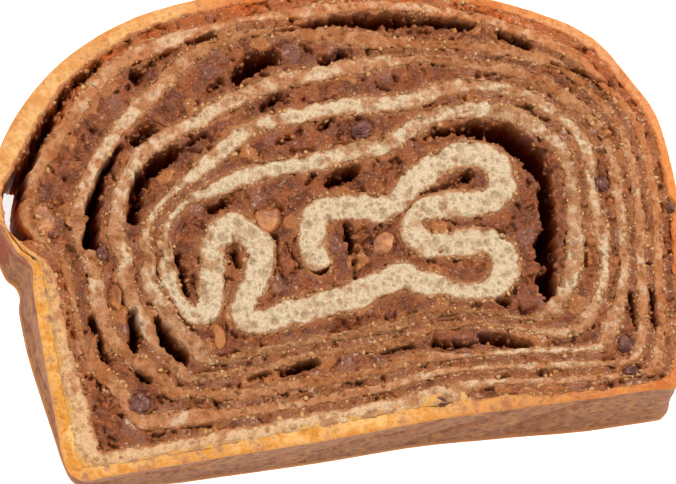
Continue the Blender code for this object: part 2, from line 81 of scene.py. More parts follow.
# Where each turn runs at every station, in percent of the way from the heart's middle to the outline.
TURN_PLACES = [
    [58.5, 50.5, 40, 34, 31, 30.5, 32, 33.5, 36.5, 52.5, 63, 69, 67.5, 66, 59.5, 45.5, 45.5, 49, 49.5, 49.5, 49,
     50.5, 53, 60.5],
    [64.5, 55.5, 48.5, 47, 49, 49, 50, 51.5, 53.5, 65, 71.5, 76, 74, 75, 69.5, 54, 53, 57, 58, 57, 56.5, 59, 60, 68],
    [71.5, 65.5, 64, 59.5, 60.5, 63.5, 65, 67, 71, 74, 78.5, 82.8, 81.5, 81, 77, 70.5, 69.5, 67.5, 70, 70.5, 70,
     71, 65.5, 78.5],
    [81, 75.5, 73.5, 74.5, 80.5, 83.5, 80.5, 77, 77, 81.5, 86, 88, 87.3, 86.2, 86, 79, 76.5, 77, 79, 79, 79.5, 79.5,
     77, 87],
    [89, 90, 86.5, 88.5, 88, 89, 89.5, 91, 91, 91.5, 91.5, 93, 92.6, 91.5, 91.5, 88, 84, 85.5, 87, 87.5, 88.5, 90,
     92, 92.5],
    [93.5] + [100] * 23,
]
BEFORE_FIRST_TURN = 57.0
CRUST_START = 1800.0
LAST_TURN_END = 2170.0
HEART_DEGREES = -10.0             # stands for the folded heart, before the first turn
HEART_THICKNESS = 5.0
BEND_LIMIT = 0.9                  # share of a bend's radius that the sheet's inner side may take up
ROLL_THICKNESS = [(0, 3.3), (360, 3.1), (720, 2.9), (1080, 2.8), (1420, 2.8), (1640, 2.7), (1690, 2.9), (1785, 3.2),
                  (1798, 3.2), (1811, 1.8), (1816, 1.7), (1820, 3.0), (1826, 4.3), (1833, 3.8), (1845, 3.3),
                  (1862, 2.8), (1880, 2.1), (1930, 2.4), (1965, 1.9), (1990, 2.2), (2030, 2.9),
                  (2110, 2.9), (2140, 2.5), (2160, 2.3), (2170, 2.0)]
TOUCHING_ROOM, FILLED_ROOM = 0.2, 1.35   # least gap between bare layers, and between layers with filling
FILLING_END = 1686.0              # beyond it the last turn is baked straight onto the crust
OPEN_SLOT = (1448.0, 1461.0)      # stretch under the crust that light comes through
# How far the rear edge stands out from the front edge: the left wall along Y, and the base along X.
REAR_LEFT = [(-40, 2.6), (-30, 1.4), (-12, -0.7), (-4, -1.1), (3, -0.5), (20, -0.6), (40, 0.0)]
REAR_BASE = [(-54, 2.6), (-45, 1.5), (-34, 0.8), (6, -0.1), (40, -1.6), (56, -1.6)]
LEAN_LEFT = (-25.0, 25.0)         # where along X the lean of the left wall begins, and how far on it is whole
LEAN_BASE = (-15.0, 20.0)         # the same for the base, along Y

# How far the filling has soaked into each stretch of dough, by degrees of roll: 0 is pale crumb, 1 is brown.
SOAK = [(-10, 0.06), (-1, 0.2), (8, 0.35), (20, 0.12), (85, 0.12), (105, 0.3), (150, 0.42), (180, 0.55), (200, 0.35),
        (212, 0.45), (225, 0.85), (318, 0.85), (335, 0.5), (360, 0.42), (395, 0.2), (480, 0.22), (505, 0.38),
        (570, 0.38), (588, 0.7), (640, 0.72), (690, 0.55), (715, 0.48), (740, 0.32), (790, 0.32), (838, 0.48),
        (850, 0.75), (888, 0.72), (900, 0.42), (925, 0.38), (935, 0.2), (950, 0.25), (978, 0.7), (1050, 0.75),
        (1080, 0.5), (1100, 0.4), (1125, 0.45), (1145, 0.75), (1245, 0.75), (1262, 0.42), (1290, 0.3), (1322, 0.32),
        (1345, 0.55), (1440, 0.6), (1475, 0.55), (1500, 0.36), (1558, 0.42), (1575, 0.62), (1648, 0.6), (1662, 0.4),
        (1700, 0.3), (1720, 0.12), (1800, 0.1), (1865, 0.1), (1900, 0.3), (1938, 0.2), (1975, 0.1), (1995, 0.4),
        (2030, 0.35), (2060, 0.12), (2161, 0.1)]
# How golden with yolk and baking the dough is.
GOLD = [(0, 0.0), (1440, 0.0), (1690, 0.1), (1730, 0.2), (1785, 0.35), (1802, 0.75), (1865, 0.75), (1900, 0.75),
        (1938, 0.6), (1960, 0.3), (1978, 0.8), (2010, 0.85), (2060, 0.95), (2161, 1.0)]
# How red the baked sugar has made the crust's cut edge.
RED = [(0, 0.0), (1440, 0.15), (1600, 0.3), (1680, 0.1), (1800, 0.15), (1860, 0.25), (1885, 0.75), (1925, 0.6),
       (1942, 0.4), (1968, 0.5), (1985, 0.65), (2012, 0.6), (2035, 0.2), (2161, 0.1)]

# Hollows among the layers: (places with the width there, depth).
HOLLOWS = [
    ([(-53.8, 11, 2.6), (-52.4, 15.4, 2.8), (-49.4, 20.6, 2.8), (-45.4, 25.6, 2.4)], 13),
    ([(-45.4, 25.6, 2.4), (-40.5, 30.4, 2.0), (-36, 33.2, 1.4)], 7),
    ([(-43.5, 0.8, 3.6), (-42.2, 7, 3.2), (-38.8, 14, 1.8), (-35.2, 17.5, 1.2)], 14),
    ([(-35.5, 4.5, 2.4), (-33.8, 10, 3.2), (-28.8, 13.8, 3.0), (-24, 16, 1.0), (-20, 17.5, 0.8)], 11),
    ([(-32.5, 18, 2.6), (-29.5, 20, 2.8)], 4),
    ([(-30.3, 29.6, 2.6), (-26, 32.4, 1.6), (-22, 34, 1.2)], 5),
    ([(-17.6, 25.6, 1.6), (-15.6, 26.6, 1.8)], 6),
    ([(-12.5, 27, 3.0), (-9.5, 29, 4.2), (-5.5, 30, 2.6)], 10),
    ([(2.5, 27, 2.0), (6.5, 28.4, 2.0)], 6),
    ([(-9, 21.2, 2.0), (-6.6, 22.4, 2.2)], 6),
    ([(-20, 34.4, 1.2), (-15.4, 35.2, 1.4)], 5),
    ([(-5, 34.2, 1.2), (5, 34.4, 1.6), (12, 33.6, 3.0), (20, 32.6, 2.6)], 8),
    ([(20, 32.4, 2.4), (25, 31.8, 2.6), (30, 30.2, 2.8)], 8),
    ([(34.8, 27.8, 1.8), (39.6, 25, 2.2)], 6),
    ([(42.5, 21.6, 1.2), (47.5, 19, 1.6), (52.6, 15.8, 1.2)], 5),
    ([(0.2, 15.6, 1.8), (2.4, 17, 1.8)], 7),
    ([(2.9, 13.3, 1.3), (3.7, 14.3, 1.3)], 6),
    ([(-7.7, 13.9, 1.3), (-5.4, 14.7, 1.4)], 6),
    ([(-21.4, 3.9, 1.8), (-18.8, 5, 1.8)], 7),
    ([(-0.4, 5.4, 1.8), (2.2, 6.6, 3.0), (5, 7.2, 2.0)], 9),
    ([(-4, 6, 1.2), (-2.4, 7.6, 1.2)], 5),
    ([(15, 1.1, 0.8), (17.5, 1.4, 0.9), (21, 2, 1.6), (24.8, 3.4, 1.9)], 8),
    ([(18, 10.9, 0.8), (21, 11.6, 1.6), (25, 11.5, 2.4), (29.5, 10.9, 3.0), (33, 9, 4.2), (36, 5, 4.8),
      (37.8, 0.4, 2.8), (37.1, -3, 3.3), (36.6, -8.5, 2.9), (35.2, -11.5, 4.4), (35, -13.3, 4.2), (35.8, -15.4, 1.6),
      (34.4, -17.2, 3.6), (34, -19.6, 3.2), (33.8, -21, 1.6)], 16),
    ([(1.4, -2.6, 2.0), (1.6, -6.8, 2.4)], 8),
    ([(1.4, -9.3, 1.2), (1.2, -12, 1.2)], 6),
    ([(-11.4, -3, 0.8), (-12, -8, 0.9), (-11, -11.6, 0.8)], 4),
    ([(-9.6, -4.4, 0.8), (-8.2, -8.6, 0.9)], 4),
    ([(-19, -4.2, 1.4), (-18.8, -7, 1.5)], 8),
    ([(-28.9, -3.4, 1.3), (-28.6, -10.6, 1.5)], 9),
    ([(-45.4, -12.4, 1.6), (-45, -16, 1.6), (-44.6, -19.6, 1.8)], 12),
    ([(-38.2, -12, 2.0), (-38.8, -17, 2.6), (-40.4, -21.6, 1.8), (-38, -24.8, 1.2)], 9),
    ([(-34.4, -14, 1.4), (-33.6, -18, 3.6), (-31.6, -21.4, 3.4)], 9),
    ([(-33.6, -33.6, 1.2), (-29, -34.2, 1.2)], 6),
    ([(-20.6, -27, 1.3), (-17.4, -26.8, 1.5)], 6),
    ([(-15, -27.2, 1.2), (-11.5, -26.4, 2.0), (-8.4, -26, 1.4)], 8),
    ([(3.2, -26, 0.9), (8.2, -25.6, 1.2)], 6),
    ([(12.4, -25.8, 1.6), (16, -26.6, 2.0), (20, -27, 2.2)], 8),
    ([(21, -26.4, 2.6), (25, -27.6, 2.8), (29, -28.8, 1.2)], 6),
    ([(25.5, -19.9, 1.8), (26.6, -20.8, 1.5)], 9),
    ([(22, -33.9, 1.0), (24, -33.7, 1.0)], 4),
    ([(28, -34.1, 0.8), (34, -34, 0.8)], 4),
    ([(-32, -38.3, 0.9), (-25, -38, 1.0)], 4),
    ([(42.2, -11.3, 1.2), (41.8, -16, 1.4)], 7),
    ([(48.6, -22.4, 1.0), (48, -28.6, 1.0)], 6),
    ([(52.4, -22.4, 1.3), (51.8, -28.4, 1.5)], 7),
    ([(26.6, -8, 1.0), (28.4, -8, 1.0)], 4),
]

# Raisins, nut pieces and nut chips: place, length, width and turn.
RAISINS = [(7.2, 14.4, 4.8, 3.8, 10), (45.6, -31.0, 4.4, 3.6, 70), (45.6, -36.0, 3.6, 2.2, 0),
           (-40.0, -28.6, 4.8, 4.2, 80), (11.6, -36.2, 4.0, 2.6, -20), (47.6, -1.8, 3.6, 2.8, 80),
           (-41.8, -1.2, 4.2, 2.2, 80), (58.8, -8.0, 3.0, 1.8, 85)]
WALNUTS = [(-50.2, 6.4, 7.4, 6.0, 75), (-11.8, 1.2, 5.8, 4.8, 70), (-40.9, -9.2, 5.0, 2.8, 85),
           (-24.6, -18.4, 5.4, 2.8, 95), (7.2, -6.8, 4.8, 4.2, 30), (50.2, 6.8, 3.0, 2.8, 20)]
NUT_CHIPS = [(-45.0, 5.4, 4.6, 3.4, 20), (48.3, -5.2, 1.8, 1.4, 60), (17.2, -9.6, 1.8, 1.2, 10)]
BOWL_DEPTH, BOWL_EDGE = 0.6, 0.3  # how far the face is hollowed round each of them, and how much wider
HOLLOW_SLOPE = (-0.2, 1.3)        # a hollow's side begins this far outside its rim, and is down this far inside it
HOLLOW_CURVE = 1.2
RIM_WANDERS = 1.2                 # the most by which a rim is ragged


def smooth_line(points, step, closed=False):
    """A Catmull-Rom curve through the points, with a point about every step."""
    pts = [np.array(p, float) for p in points]
    count = len(pts)
    if closed:
        pts = [pts[-1]] + pts + pts[:2]
    else:
        pts = [2 * pts[0] - pts[1]] + pts + [2 * pts[-1] - pts[-2]]
        count -= 1
    line = []
    for i in range(count):
        a, b, c, d = pts[i:i + 4]
        parts = max(2, int(math.ceil(np.hypot(*(c - b)) / step)))
        t = (np.arange(parts) / parts)[:, None]
        line.append(catmull(a, b, c, d, t))
    if not closed:
        line.append(pts[-2][None, :])
    return np.vstack(line)


def catmull(a, b, c, d, t):
    """The Catmull-Rom curve between b and c, at share t of the way."""
    return 0.5 * (2 * b + (c - a) * t + (2 * a - 5 * b + 4 * c - d) * t ** 2 + (3 * b - a - 3 * c + d) * t ** 3)


OUTLINE_STEP = 0.4
OUTLINE = smooth_line(LOAF_OUTLINE, OUTLINE_STEP, closed=True)
OUTLINE_ANGLE = (180 - np.degrees(np.arctan2(OUTLINE[:, 1] - HEART[1], OUTLINE[:, 0] - HEART[0]))) % 360
OUTLINE_RADIUS = np.hypot(OUTLINE[:, 0] - HEART[0], OUTLINE[:, 1] - HEART[1])
BY_ANGLE = np.argsort(OUTLINE_ANGLE)
PLACES = np.array([BEFORE_FIRST_TURN - 1, BEFORE_FIRST_TURN] + [p for turn in TURN_PLACES for p in turn]
                  + [100, 100, 100], float)


def table(pairs, degrees):
    """Reads a table of (degrees, value) pairs."""
    return np.interp(degrees, *zip(*pairs))


def roll_reach(degrees):
    """Distance of the sheet's middle from the heart, at degrees of roll."""
    station = degrees / STATION_STEP + 2
    first = np.clip(np.floor(station).astype(int), 1, len(PLACES) - 3)
    share = catmull(PLACES[first - 1], PLACES[first], PLACES[first + 1], PLACES[first + 2], station - first)
    radius = np.interp(degrees % 360, OUTLINE_ANGLE[BY_ANGLE], OUTLINE_RADIUS[BY_ANGLE], period=360)
    return np.minimum(radius * share / 100, radius - table(ROLL_THICKNESS, degrees) / 2)


def roll_points(degrees):
    """Places of the sheet's middle, at degrees of roll."""
    reach = roll_reach(degrees)
    angle = np.radians(180 - degrees)
    return np.stack([HEART[0] + reach * np.cos(angle), HEART[1] + reach * np.sin(angle)], axis=-1)


def even_line(columns, length, step):
    """Reads columns again at even steps along a line."""
    marks = np.arange(0, length[-1], step)
    return [np.interp(marks, length, c) for c in columns] + [marks]


def blurred(values, reach):
    """Moving average over reach steps each way."""
    padded = np.pad(values, reach, mode="edge")
    return np.convolve(padded, np.ones(2 * reach + 1) / (2 * reach + 1), mode="valid")


# ---- Random patterns. Below, each is written as strength * pattern(x, y, size in millimetres, seed).

LATTICE = 256
WAVE_SHIFT, GRAIN_SHIFT = (31.7, 57.3), (13.1, 7.9)     # how far each seed moves over the lattice
LAYERS_TOGETHER = 1.5                                   # about the strength of all layers of a rough pattern
CHANCE = np.random.default_rng(12)
KNOTS = CHANCE.uniform(-1, 1, (LATTICE, LATTICE))
SPOTS = CHANCE.uniform(0.08, 0.92, (LATTICE, LATTICE, 2))
LOTS = CHANCE.uniform(0, 1, (LATTICE, LATTICE))


def waves(x, y, size, seed):
    """Soft random field between -1 and 1 with features of the given size in millimetres."""
    u, v = x / size + WAVE_SHIFT[0] * seed, y / size + WAVE_SHIFT[1] * seed
    i, j = np.floor(u).astype(int), np.floor(v).astype(int)
    f, g = u - i, v - j
    f, g = f * f * (3 - 2 * f), g * g * (3 - 2 * g)
    near = KNOTS[i % LATTICE, j % LATTICE] * (1 - f) + KNOTS[(i + 1) % LATTICE, j % LATTICE] * f
    far = KNOTS[i % LATTICE, (j + 1) % LATTICE] * (1 - f) + KNOTS[(i + 1) % LATTICE, (j + 1) % LATTICE] * f
    return near * (1 - g) + far * g


def rough(x, y, size, seed, layers=3):
    """Several layers of waves, each half the size and strength of the last."""
    total = np.zeros(np.shape(x))
    for k in range(layers):
        total += waves(x, y, size / 2 ** k, seed + k) / 2 ** k
    return total / LAYERS_TOGETHER


def grains(x, y, size, seed):
    """Scattered grains: distance to the nearest one in grain sizes, and its lot between 0 and 1."""
    u, v = x / size + GRAIN_SHIFT[0] * seed, y / size + GRAIN_SHIFT[1] * seed
    i, j = np.floor(u).astype(int), np.floor(v).astype(int)
    nearest = np.full(np.shape(u), FAR_AWAY)
    lot = np.zeros(np.shape(u))
    for a in (-1, 0, 1):
        for b in (-1, 0, 1):
            p, q = (i + a) % LATTICE, (j + b) % LATTICE
            away = np.hypot(i + a + SPOTS[p, q, 0] - u, j + b + SPOTS[p, q, 1] - v)
            closer = away < nearest
            nearest = np.where(closer, away, nearest)
            lot = np.where(closer, LOTS[p, q], lot)
    return nearest, lot


def step_up(low, high, value):
    """Rises smoothly from 0 to 1 as value goes from low to high."""
    t = np.clip((value - low) / (high - low), 0, 1)
    return t * t * (3 - 2 * t)


class Sheet:
    """The rolled sheet at even steps: place, outward direction, half thickness and degrees of roll."""

    STEP = 0.2                    # millimetres along the sheet
    FINE_STEP = 0.1               # of the line that it is read from, in millimetres and in degrees
    INTO_ROLL = (-9.0, -4.0, 0.0)     # degrees that lead the folded heart into the first turn
    FIRST_DEGREE = 0.25
    WAVERING, WAVER_LENGTH = 0.13, 4.5   # share by which the sheet gets thicker and thinner, and over what length
    EVENED = (3, 4, 5)            # steps each way over which its course, its bends and its thickness are evened
    SAME_FOLD = 9.0               # a neighbour within this length is the fold itself
    HEART_TAIL = 12.0             # the heart's last part, which the first turn carries on
    NEIGHBOUR = 60.0              # degrees within which a layer of the next turn counts as beside
    BAKED_FROM, BAKED_TO = FILLING_END - 16, CRUST_START + 6
    BAKED_OVER, BAKED_MOST = 0.15, 6.0   # how far it reaches into the crust, and at most

    def __init__(self):
        heart = smooth_line(HEART_ROUTE + list(roll_points(np.array(self.INTO_ROLL))), self.FINE_STEP)
        angles = np.arange(self.FIRST_DEGREE, LAST_TURN_END, self.FINE_STEP)
        line = np.vstack([heart, roll_points(angles)])
        degrees = np.concatenate([np.full(len(heart), HEART_DEGREES), angles])
        length = np.concatenate([[0], np.cumsum(np.hypot(*np.diff(line, axis=0).T))])
        self.x, self.y, self.degrees, self.length = even_line([*line.T, degrees], length, self.STEP)
        self.heart_length = length[len(heart) - 1]
        over_course, over_bends, over_thickness = self.EVENED
        ahead = np.stack([np.gradient(blurred(c, over_course)) for c in (self.x, self.y)], axis=1)
        ahead /= np.linalg.norm(ahead, axis=1)[:, None]
        self.side = np.stack([-ahead[:, 1], ahead[:, 0]], axis=1)
        turn = np.gradient(np.unwrap(np.arctan2(ahead[:, 1], ahead[:, 0]))) / self.STEP
        self.bend = blurred(turn, over_bends)
        wavering = 1 + self.WAVERING * rough(self.length, 0.0, self.WAVER_LENGTH, 51) * (self.degrees < CRUST_START)
        half = blurred(self.half_thickness() * wavering, over_thickness)
        self.half = half * self.rounding(half)
        self.outer_half = np.maximum(self.half, self.onto_crust())

    def rounding(self, half):
        """Share of the thickness that is left towards the sheet's two ends, which are round."""
        from_end = np.minimum(self.length, self.length[-1] - self.length) / half
        return np.sqrt(1 - np.clip(1 - from_end, 0, 0.999) ** 2)

    def onto_crust(self):
        """Where the last two turns are baked together, how far the inner one reaches out to the crust."""
        reach = np.zeros(len(self.x))
        baked = np.flatnonzero((self.degrees > self.BAKED_FROM) & (self.degrees < self.BAKED_TO))
        crust = np.flatnonzero(self.degrees > CRUST_START + self.NEIGHBOUR)
        for i in baked:
            away = np.hypot(self.x[crust] - self.x[i], self.y[crust] - self.y[i]) - self.half[crust]
            reach[i] = min(away.min() + self.BAKED_OVER, self.BAKED_MOST)
        opening = step_up(self.BAKED_FROM, FILLING_END + 4, self.degrees)
        return reach * opening * step_up(self.BAKED_TO, CRUST_START + 1, self.degrees)

    def half_thickness(self):
        """Half the wanted thickness, or less where a neighbouring layer lies close."""
        pick = slice(None, None, 3)
        x, y, degrees, length = self.x[pick], self.y[pick], self.degrees[pick], self.length[pick]
        away = np.hypot(x[:, None] - x, y[:, None] - y)
        ahead = degrees - degrees[:, None]
        in_heart = degrees < 0
        far = np.abs(length - length[:, None]) > self.SAME_FOLD
        early = in_heart & (length < self.heart_length - self.HEART_TAIL)
        rows = in_heart[:, None]
        within = np.where(degrees[:, None] < 360, early[None, :], np.abs(ahead + 360) < self.NEIGHBOUR)
        outside = np.abs(ahead - 360) < self.NEIGHBOUR
        nearest_far = np.where(rows & far, away, FAR_AWAY).min(axis=1) - TOUCHING_ROOM
        room_out = np.where(degrees < FILLING_END, FILLED_ROOM, TOUCHING_ROOM)
        filled_within = (degrees > 350) & (degrees < FILLING_END + 360)
        room_in = np.where(filled_within, FILLED_ROOM, TOUCHING_ROOM)
        nearest_out = np.where(~rows & outside, away, FAR_AWAY).min(axis=1) - room_out
        nearest_in = np.where(~rows & within, away, FAR_AWAY).min(axis=1) - room_in
        wanted = np.where(in_heart, HEART_THICKNESS, table(ROLL_THICKNESS, degrees))
        half = np.minimum.reduce([wanted, nearest_far, nearest_out, nearest_in]) / 2
        return np.interp(self.length, length, half)


def placed(x, y, z):
    """Places of the slice in metres, leaned by their depth behind the cut face."""
    depth = np.clip(1 - z / THICKNESS, 0, 1)
    dx = np.clip((LEAN_LEFT[0] - x) / LEAN_LEFT[1], 0, 1) * np.interp(y, *zip(*REAR_LEFT))
    dy = np.clip((LEAN_BASE[0] - y) / LEAN_BASE[1], 0, 1) * np.interp(x, *zip(*REAR_BASE))
    places = np.stack([x + dx * depth - BOX_CENTRE[0], y + dy * depth - BOX_CENTRE[1], z], axis=-1) * MM
    return np.clip(places, np.array(cad_box[0]) + INSIDE_BOX * MM, np.array(cad_box[1]) - INSIDE_BOX * MM)


# ---- Hollows, and what lies where on the cut face.


def hollow_depth(x, y, shrink=0.0):
    """How deep the hollows go below the cut face at each place, with ragged rims."""
    depth = np.zeros(np.shape(x))
    ragged = 0.6 * rough(x, y, 2.2, 40) + 0.3 * waves(x, y, 0.8, 44)
    for chain, deepest in HOLLOWS:
        for (x0, y0, w0), (x1, y1, w1) in zip(chain, chain[1:]):
            reach = max(w0, w1) / 2 + RIM_WANDERS
            near = ((x > min(x0, x1) - reach) & (x < max(x0, x1) + reach)
                    & (y > min(y0, y1) - reach) & (y < max(y0, y1) + reach))
            px, py = x[near], y[near]
            dx, dy = x1 - x0, y1 - y0
            along = np.clip(((px - x0) * dx + (py - y0) * dy) / (dx ** 2 + dy ** 2), 0, 1)
            away = np.hypot(px - x0 - along * dx, py - y0 - along * dy)
            width = w0 + (w1 - w0) * along
            into = width / 2 + ragged[near] * np.minimum(1, width / 2) - away - shrink
            depth[near] = np.maximum(depth[near], deepest * step_up(*HOLLOW_SLOPE, into) ** HOLLOW_CURVE)
    for mx, my, length, width, turn in RAISINS + WALNUTS + NUT_CHIPS:
        c, s = math.cos(math.radians(turn)), math.sin(math.radians(turn))
        u, v = (x - mx) * c + (y - my) * s, (y - my) * c - (x - mx) * s
        away = np.hypot(u / (length + BOWL_EDGE), v / (width + BOWL_EDGE)) * 2
        depth = np.maximum(depth, BOWL_DEPTH * step_up(1.1, 0.85, away))
    return depth


class FaceMap:
    """What lies where on the cut face: the room left by the dough and the gap that each place is in."""

    CELL = 0.2
    LOW = (-62.0, -43.0)
    SIZE = (124.0, 86.0)
    REACH = 5.0                   # dough further away than this isn't looked for
    SKIN = 1.7                    # nothing but crust lies this near the outline

    def __init__(self, sheet):
        self.count = [int(round(s / self.CELL)) + 1 for s in self.SIZE]
        xs, ys = [low + self.CELL * np.arange(n) for low, n in zip(self.LOW, self.count)]
        self.x, self.y = np.meshgrid(xs, ys, indexing="ij")
        self.room = np.full(self.x.shape, FAR_AWAY)
        reach = int(self.REACH / self.CELL)
        for x, y, half in zip(sheet.x, sheet.y, sheet.half):
            i, j = int((x - self.LOW[0]) / self.CELL), int((y - self.LOW[1]) / self.CELL)
            window = (slice(max(i - reach, 0), i + reach), slice(max(j - reach, 0), j + reach))
            away = np.hypot(self.x[window] - x, self.y[window] - y) - half
            self.room[window] = np.minimum(self.room[window], away)
        self.lap = self.lap_at(self.x, self.y)
        angle = (180 - np.degrees(np.arctan2(self.y - HEART[1], self.x - HEART[0]))) % 360
        rim = np.interp(angle, OUTLINE_ANGLE[BY_ANGLE], OUTLINE_RADIUS[BY_ANGLE], period=360)
        self.lap[np.hypot(self.x - HEART[0], self.y - HEART[1]) > rim - self.SKIN] = OUTSIDE

    @staticmethod
    def lap_at(x, y):
        """Degrees of roll of the sheet just inside each place, or HEART_DEGREES within the first turn."""
        angle = (180 - np.degrees(np.arctan2(y - HEART[1], x - HEART[0]))) % 360
        reach = np.hypot(x - HEART[0], y - HEART[1])
        lap = np.full(np.shape(x), HEART_DEGREES)
        for turn in range(len(TURN_PLACES)):
            degrees = angle + 360 * turn
            lap = np.where(reach > roll_reach(degrees), degrees, lap)
        return lap

    def read(self, values, x, y):
        """A value of the map at any places."""
        i = np.clip(np.round((x - self.LOW[0]) / self.CELL).astype(int), 0, self.count[0] - 1)
        j = np.clip(np.round((y - self.LOW[1]) / self.CELL).astype(int), 0, self.count[1] - 1)
        return values[i, j]


# ---- Meshes.


def grid_plane(columns, rows):
    """A flat grid whose corners lie on whole numbers, from (0, 0) to (columns, rows)."""
    plane = bmesh.new()
    half = Vector((columns / 2, rows / 2, 0))
    fit = Matrix.Translation(half) @ Matrix.Diagonal((half.x, half.y, 1, 1))
    bmesh.ops.create_grid(plane, x_segments=columns, y_segments=rows, size=1, matrix=fit)
    return plane


def mark(shape, **fields):
    """Stores named numbers at each corner of a bmesh, for the materials."""
    for name, values in fields.items():
        layer = shape.verts.layers.float.new(name)
        for v, value in zip(shape.verts, np.asarray(values, float).tolist()):
            v[layer] = value


def move(shape, places):
    """Moves a bmesh's corners to new places, in their order."""
    for v, p in zip(shape.verts, places.tolist()):
        v.co = p


def flat_places(shape):
    """The X and Y of a bmesh's corners, in their order."""
    return np.array([v.co[:2] for v in shape.verts]).T


def add_piece(name, shape, surface, replaced=()):
    """Makes an object of a bmesh, riding on the slice and standing for the named solids."""
    mesh = bpy.data.meshes.new(name)
    shape.to_mesh(mesh)
    shape.free()
    mesh.materials.append(surface)
    mesh.shade_smooth()
    piece = bpy.data.objects.new(name, mesh)
    bpy.context.collection.objects.link(piece)
    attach(piece, "root")
    if replaced:
        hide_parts(*replaced)
    return piece


# ---- The rolled sheet of dough.


def ring_shares(top, wall, under):
    """Once round the sheet's cross-section: share of the half thickness and share of the height."""
    down = 1 - (np.arange(1, wall) / wall) ** 1.4
    across = np.linspace(-1, 1, top)
    beneath = np.linspace(1, -1, under)
    share = np.concatenate([across, np.ones(wall - 1), beneath, -np.ones(wall - 1), [-1]])
    height = np.concatenate([np.ones(top), down, np.zeros(under), down[::-1], [1]])
    return share, height


PORE_SPACING, BUBBLE_SPACING, PORE_DEPTH = 1.2, 2.7, 0.55
OPEN_CRUMB_TO, BUBBLES_TO = 330, 700      # degrees of roll up to which there are many pores, and large bubbles
UNDERSIDE = 0.05                          # how far the rear face stays off the floor
TUCKED_IN = 0.35                          # hollows are this much narrower in the dough than in the filling
CREASE_DEPTH, SKIN_INSET = 0.55, 0.25
SOAKED_RIM, SOAKED_WALL = 0.65, 0.85      # how brown the sheet's rims and its walls are at least
BAKED_IN = 0.55                           # how deep the oven's colour goes below the skin
SKIN_FROM, SKINNED_FROM = CRUST_START - 14, CRUST_START + 5    # where the outside is skin, and where it is even
FACING_LONG_HOLLOW = ((1430, 1560), (1812, 1900))     # degrees of the two layers beside the hollow under the crust
RED_AND_GLOW_THERE = 0.85                          # how red their walls are: baked red, lightened into a painted glow of light through the thin layers


def pits_in_crumb(x, y, share, degrees, foam):
    """Depth of the pores and larger bubbles in shares of PORE_DEPTH: none at the sheet's edges, few in the crust."""
    pore, lot = grains(x + 0.35 * foam, y - 0.35 * foam, PORE_SPACING, 4)
    pit = step_up(0.55, 0.1, pore / (0.1 + 1.1 * lot))
    pit *= lot > np.where(degrees < OPEN_CRUMB_TO, 0.45, 0.6)
    bubble, size = grains(x + 0.3 * foam, y - 0.3 * foam, BUBBLE_SPACING, 9)
    bubble = step_up(0.3, 0.1, bubble / (0.4 + size)) * (size > 0.6) * (degrees < BUBBLES_TO)
    return np.maximum(pit, 1.5 * bubble) * (1 - np.abs(share) ** 6) * np.where(degrees > CRUST_START, 0.4, 0.75)


def wall_relief(length, z, skin):
    """How far the walls stand out, and their creases: smooth skin outside the crust, torn crumb elsewhere."""
    torn = 0.3 * rough(length, z, 2.4, 12) + 0.16 * rough(length, z, 0.7, 15)
    belly = (0.2 * rough(length, z, 8.0, 20) - 0.3) * np.sin(np.pi * np.clip(z / THICKNESS, 0, 1))
    crease = step_up(0.14, 0.0, np.abs(rough(length + 0.7 * z, 0.8 * z, 13.0, 26, 2))) * step_up(0, 4, z)
    smooth = belly - CREASE_DEPTH * crease + 0.1 * rough(length, z, 1.8, 23) - SKIN_INSET
    return np.where(skin, smooth, torn), crease


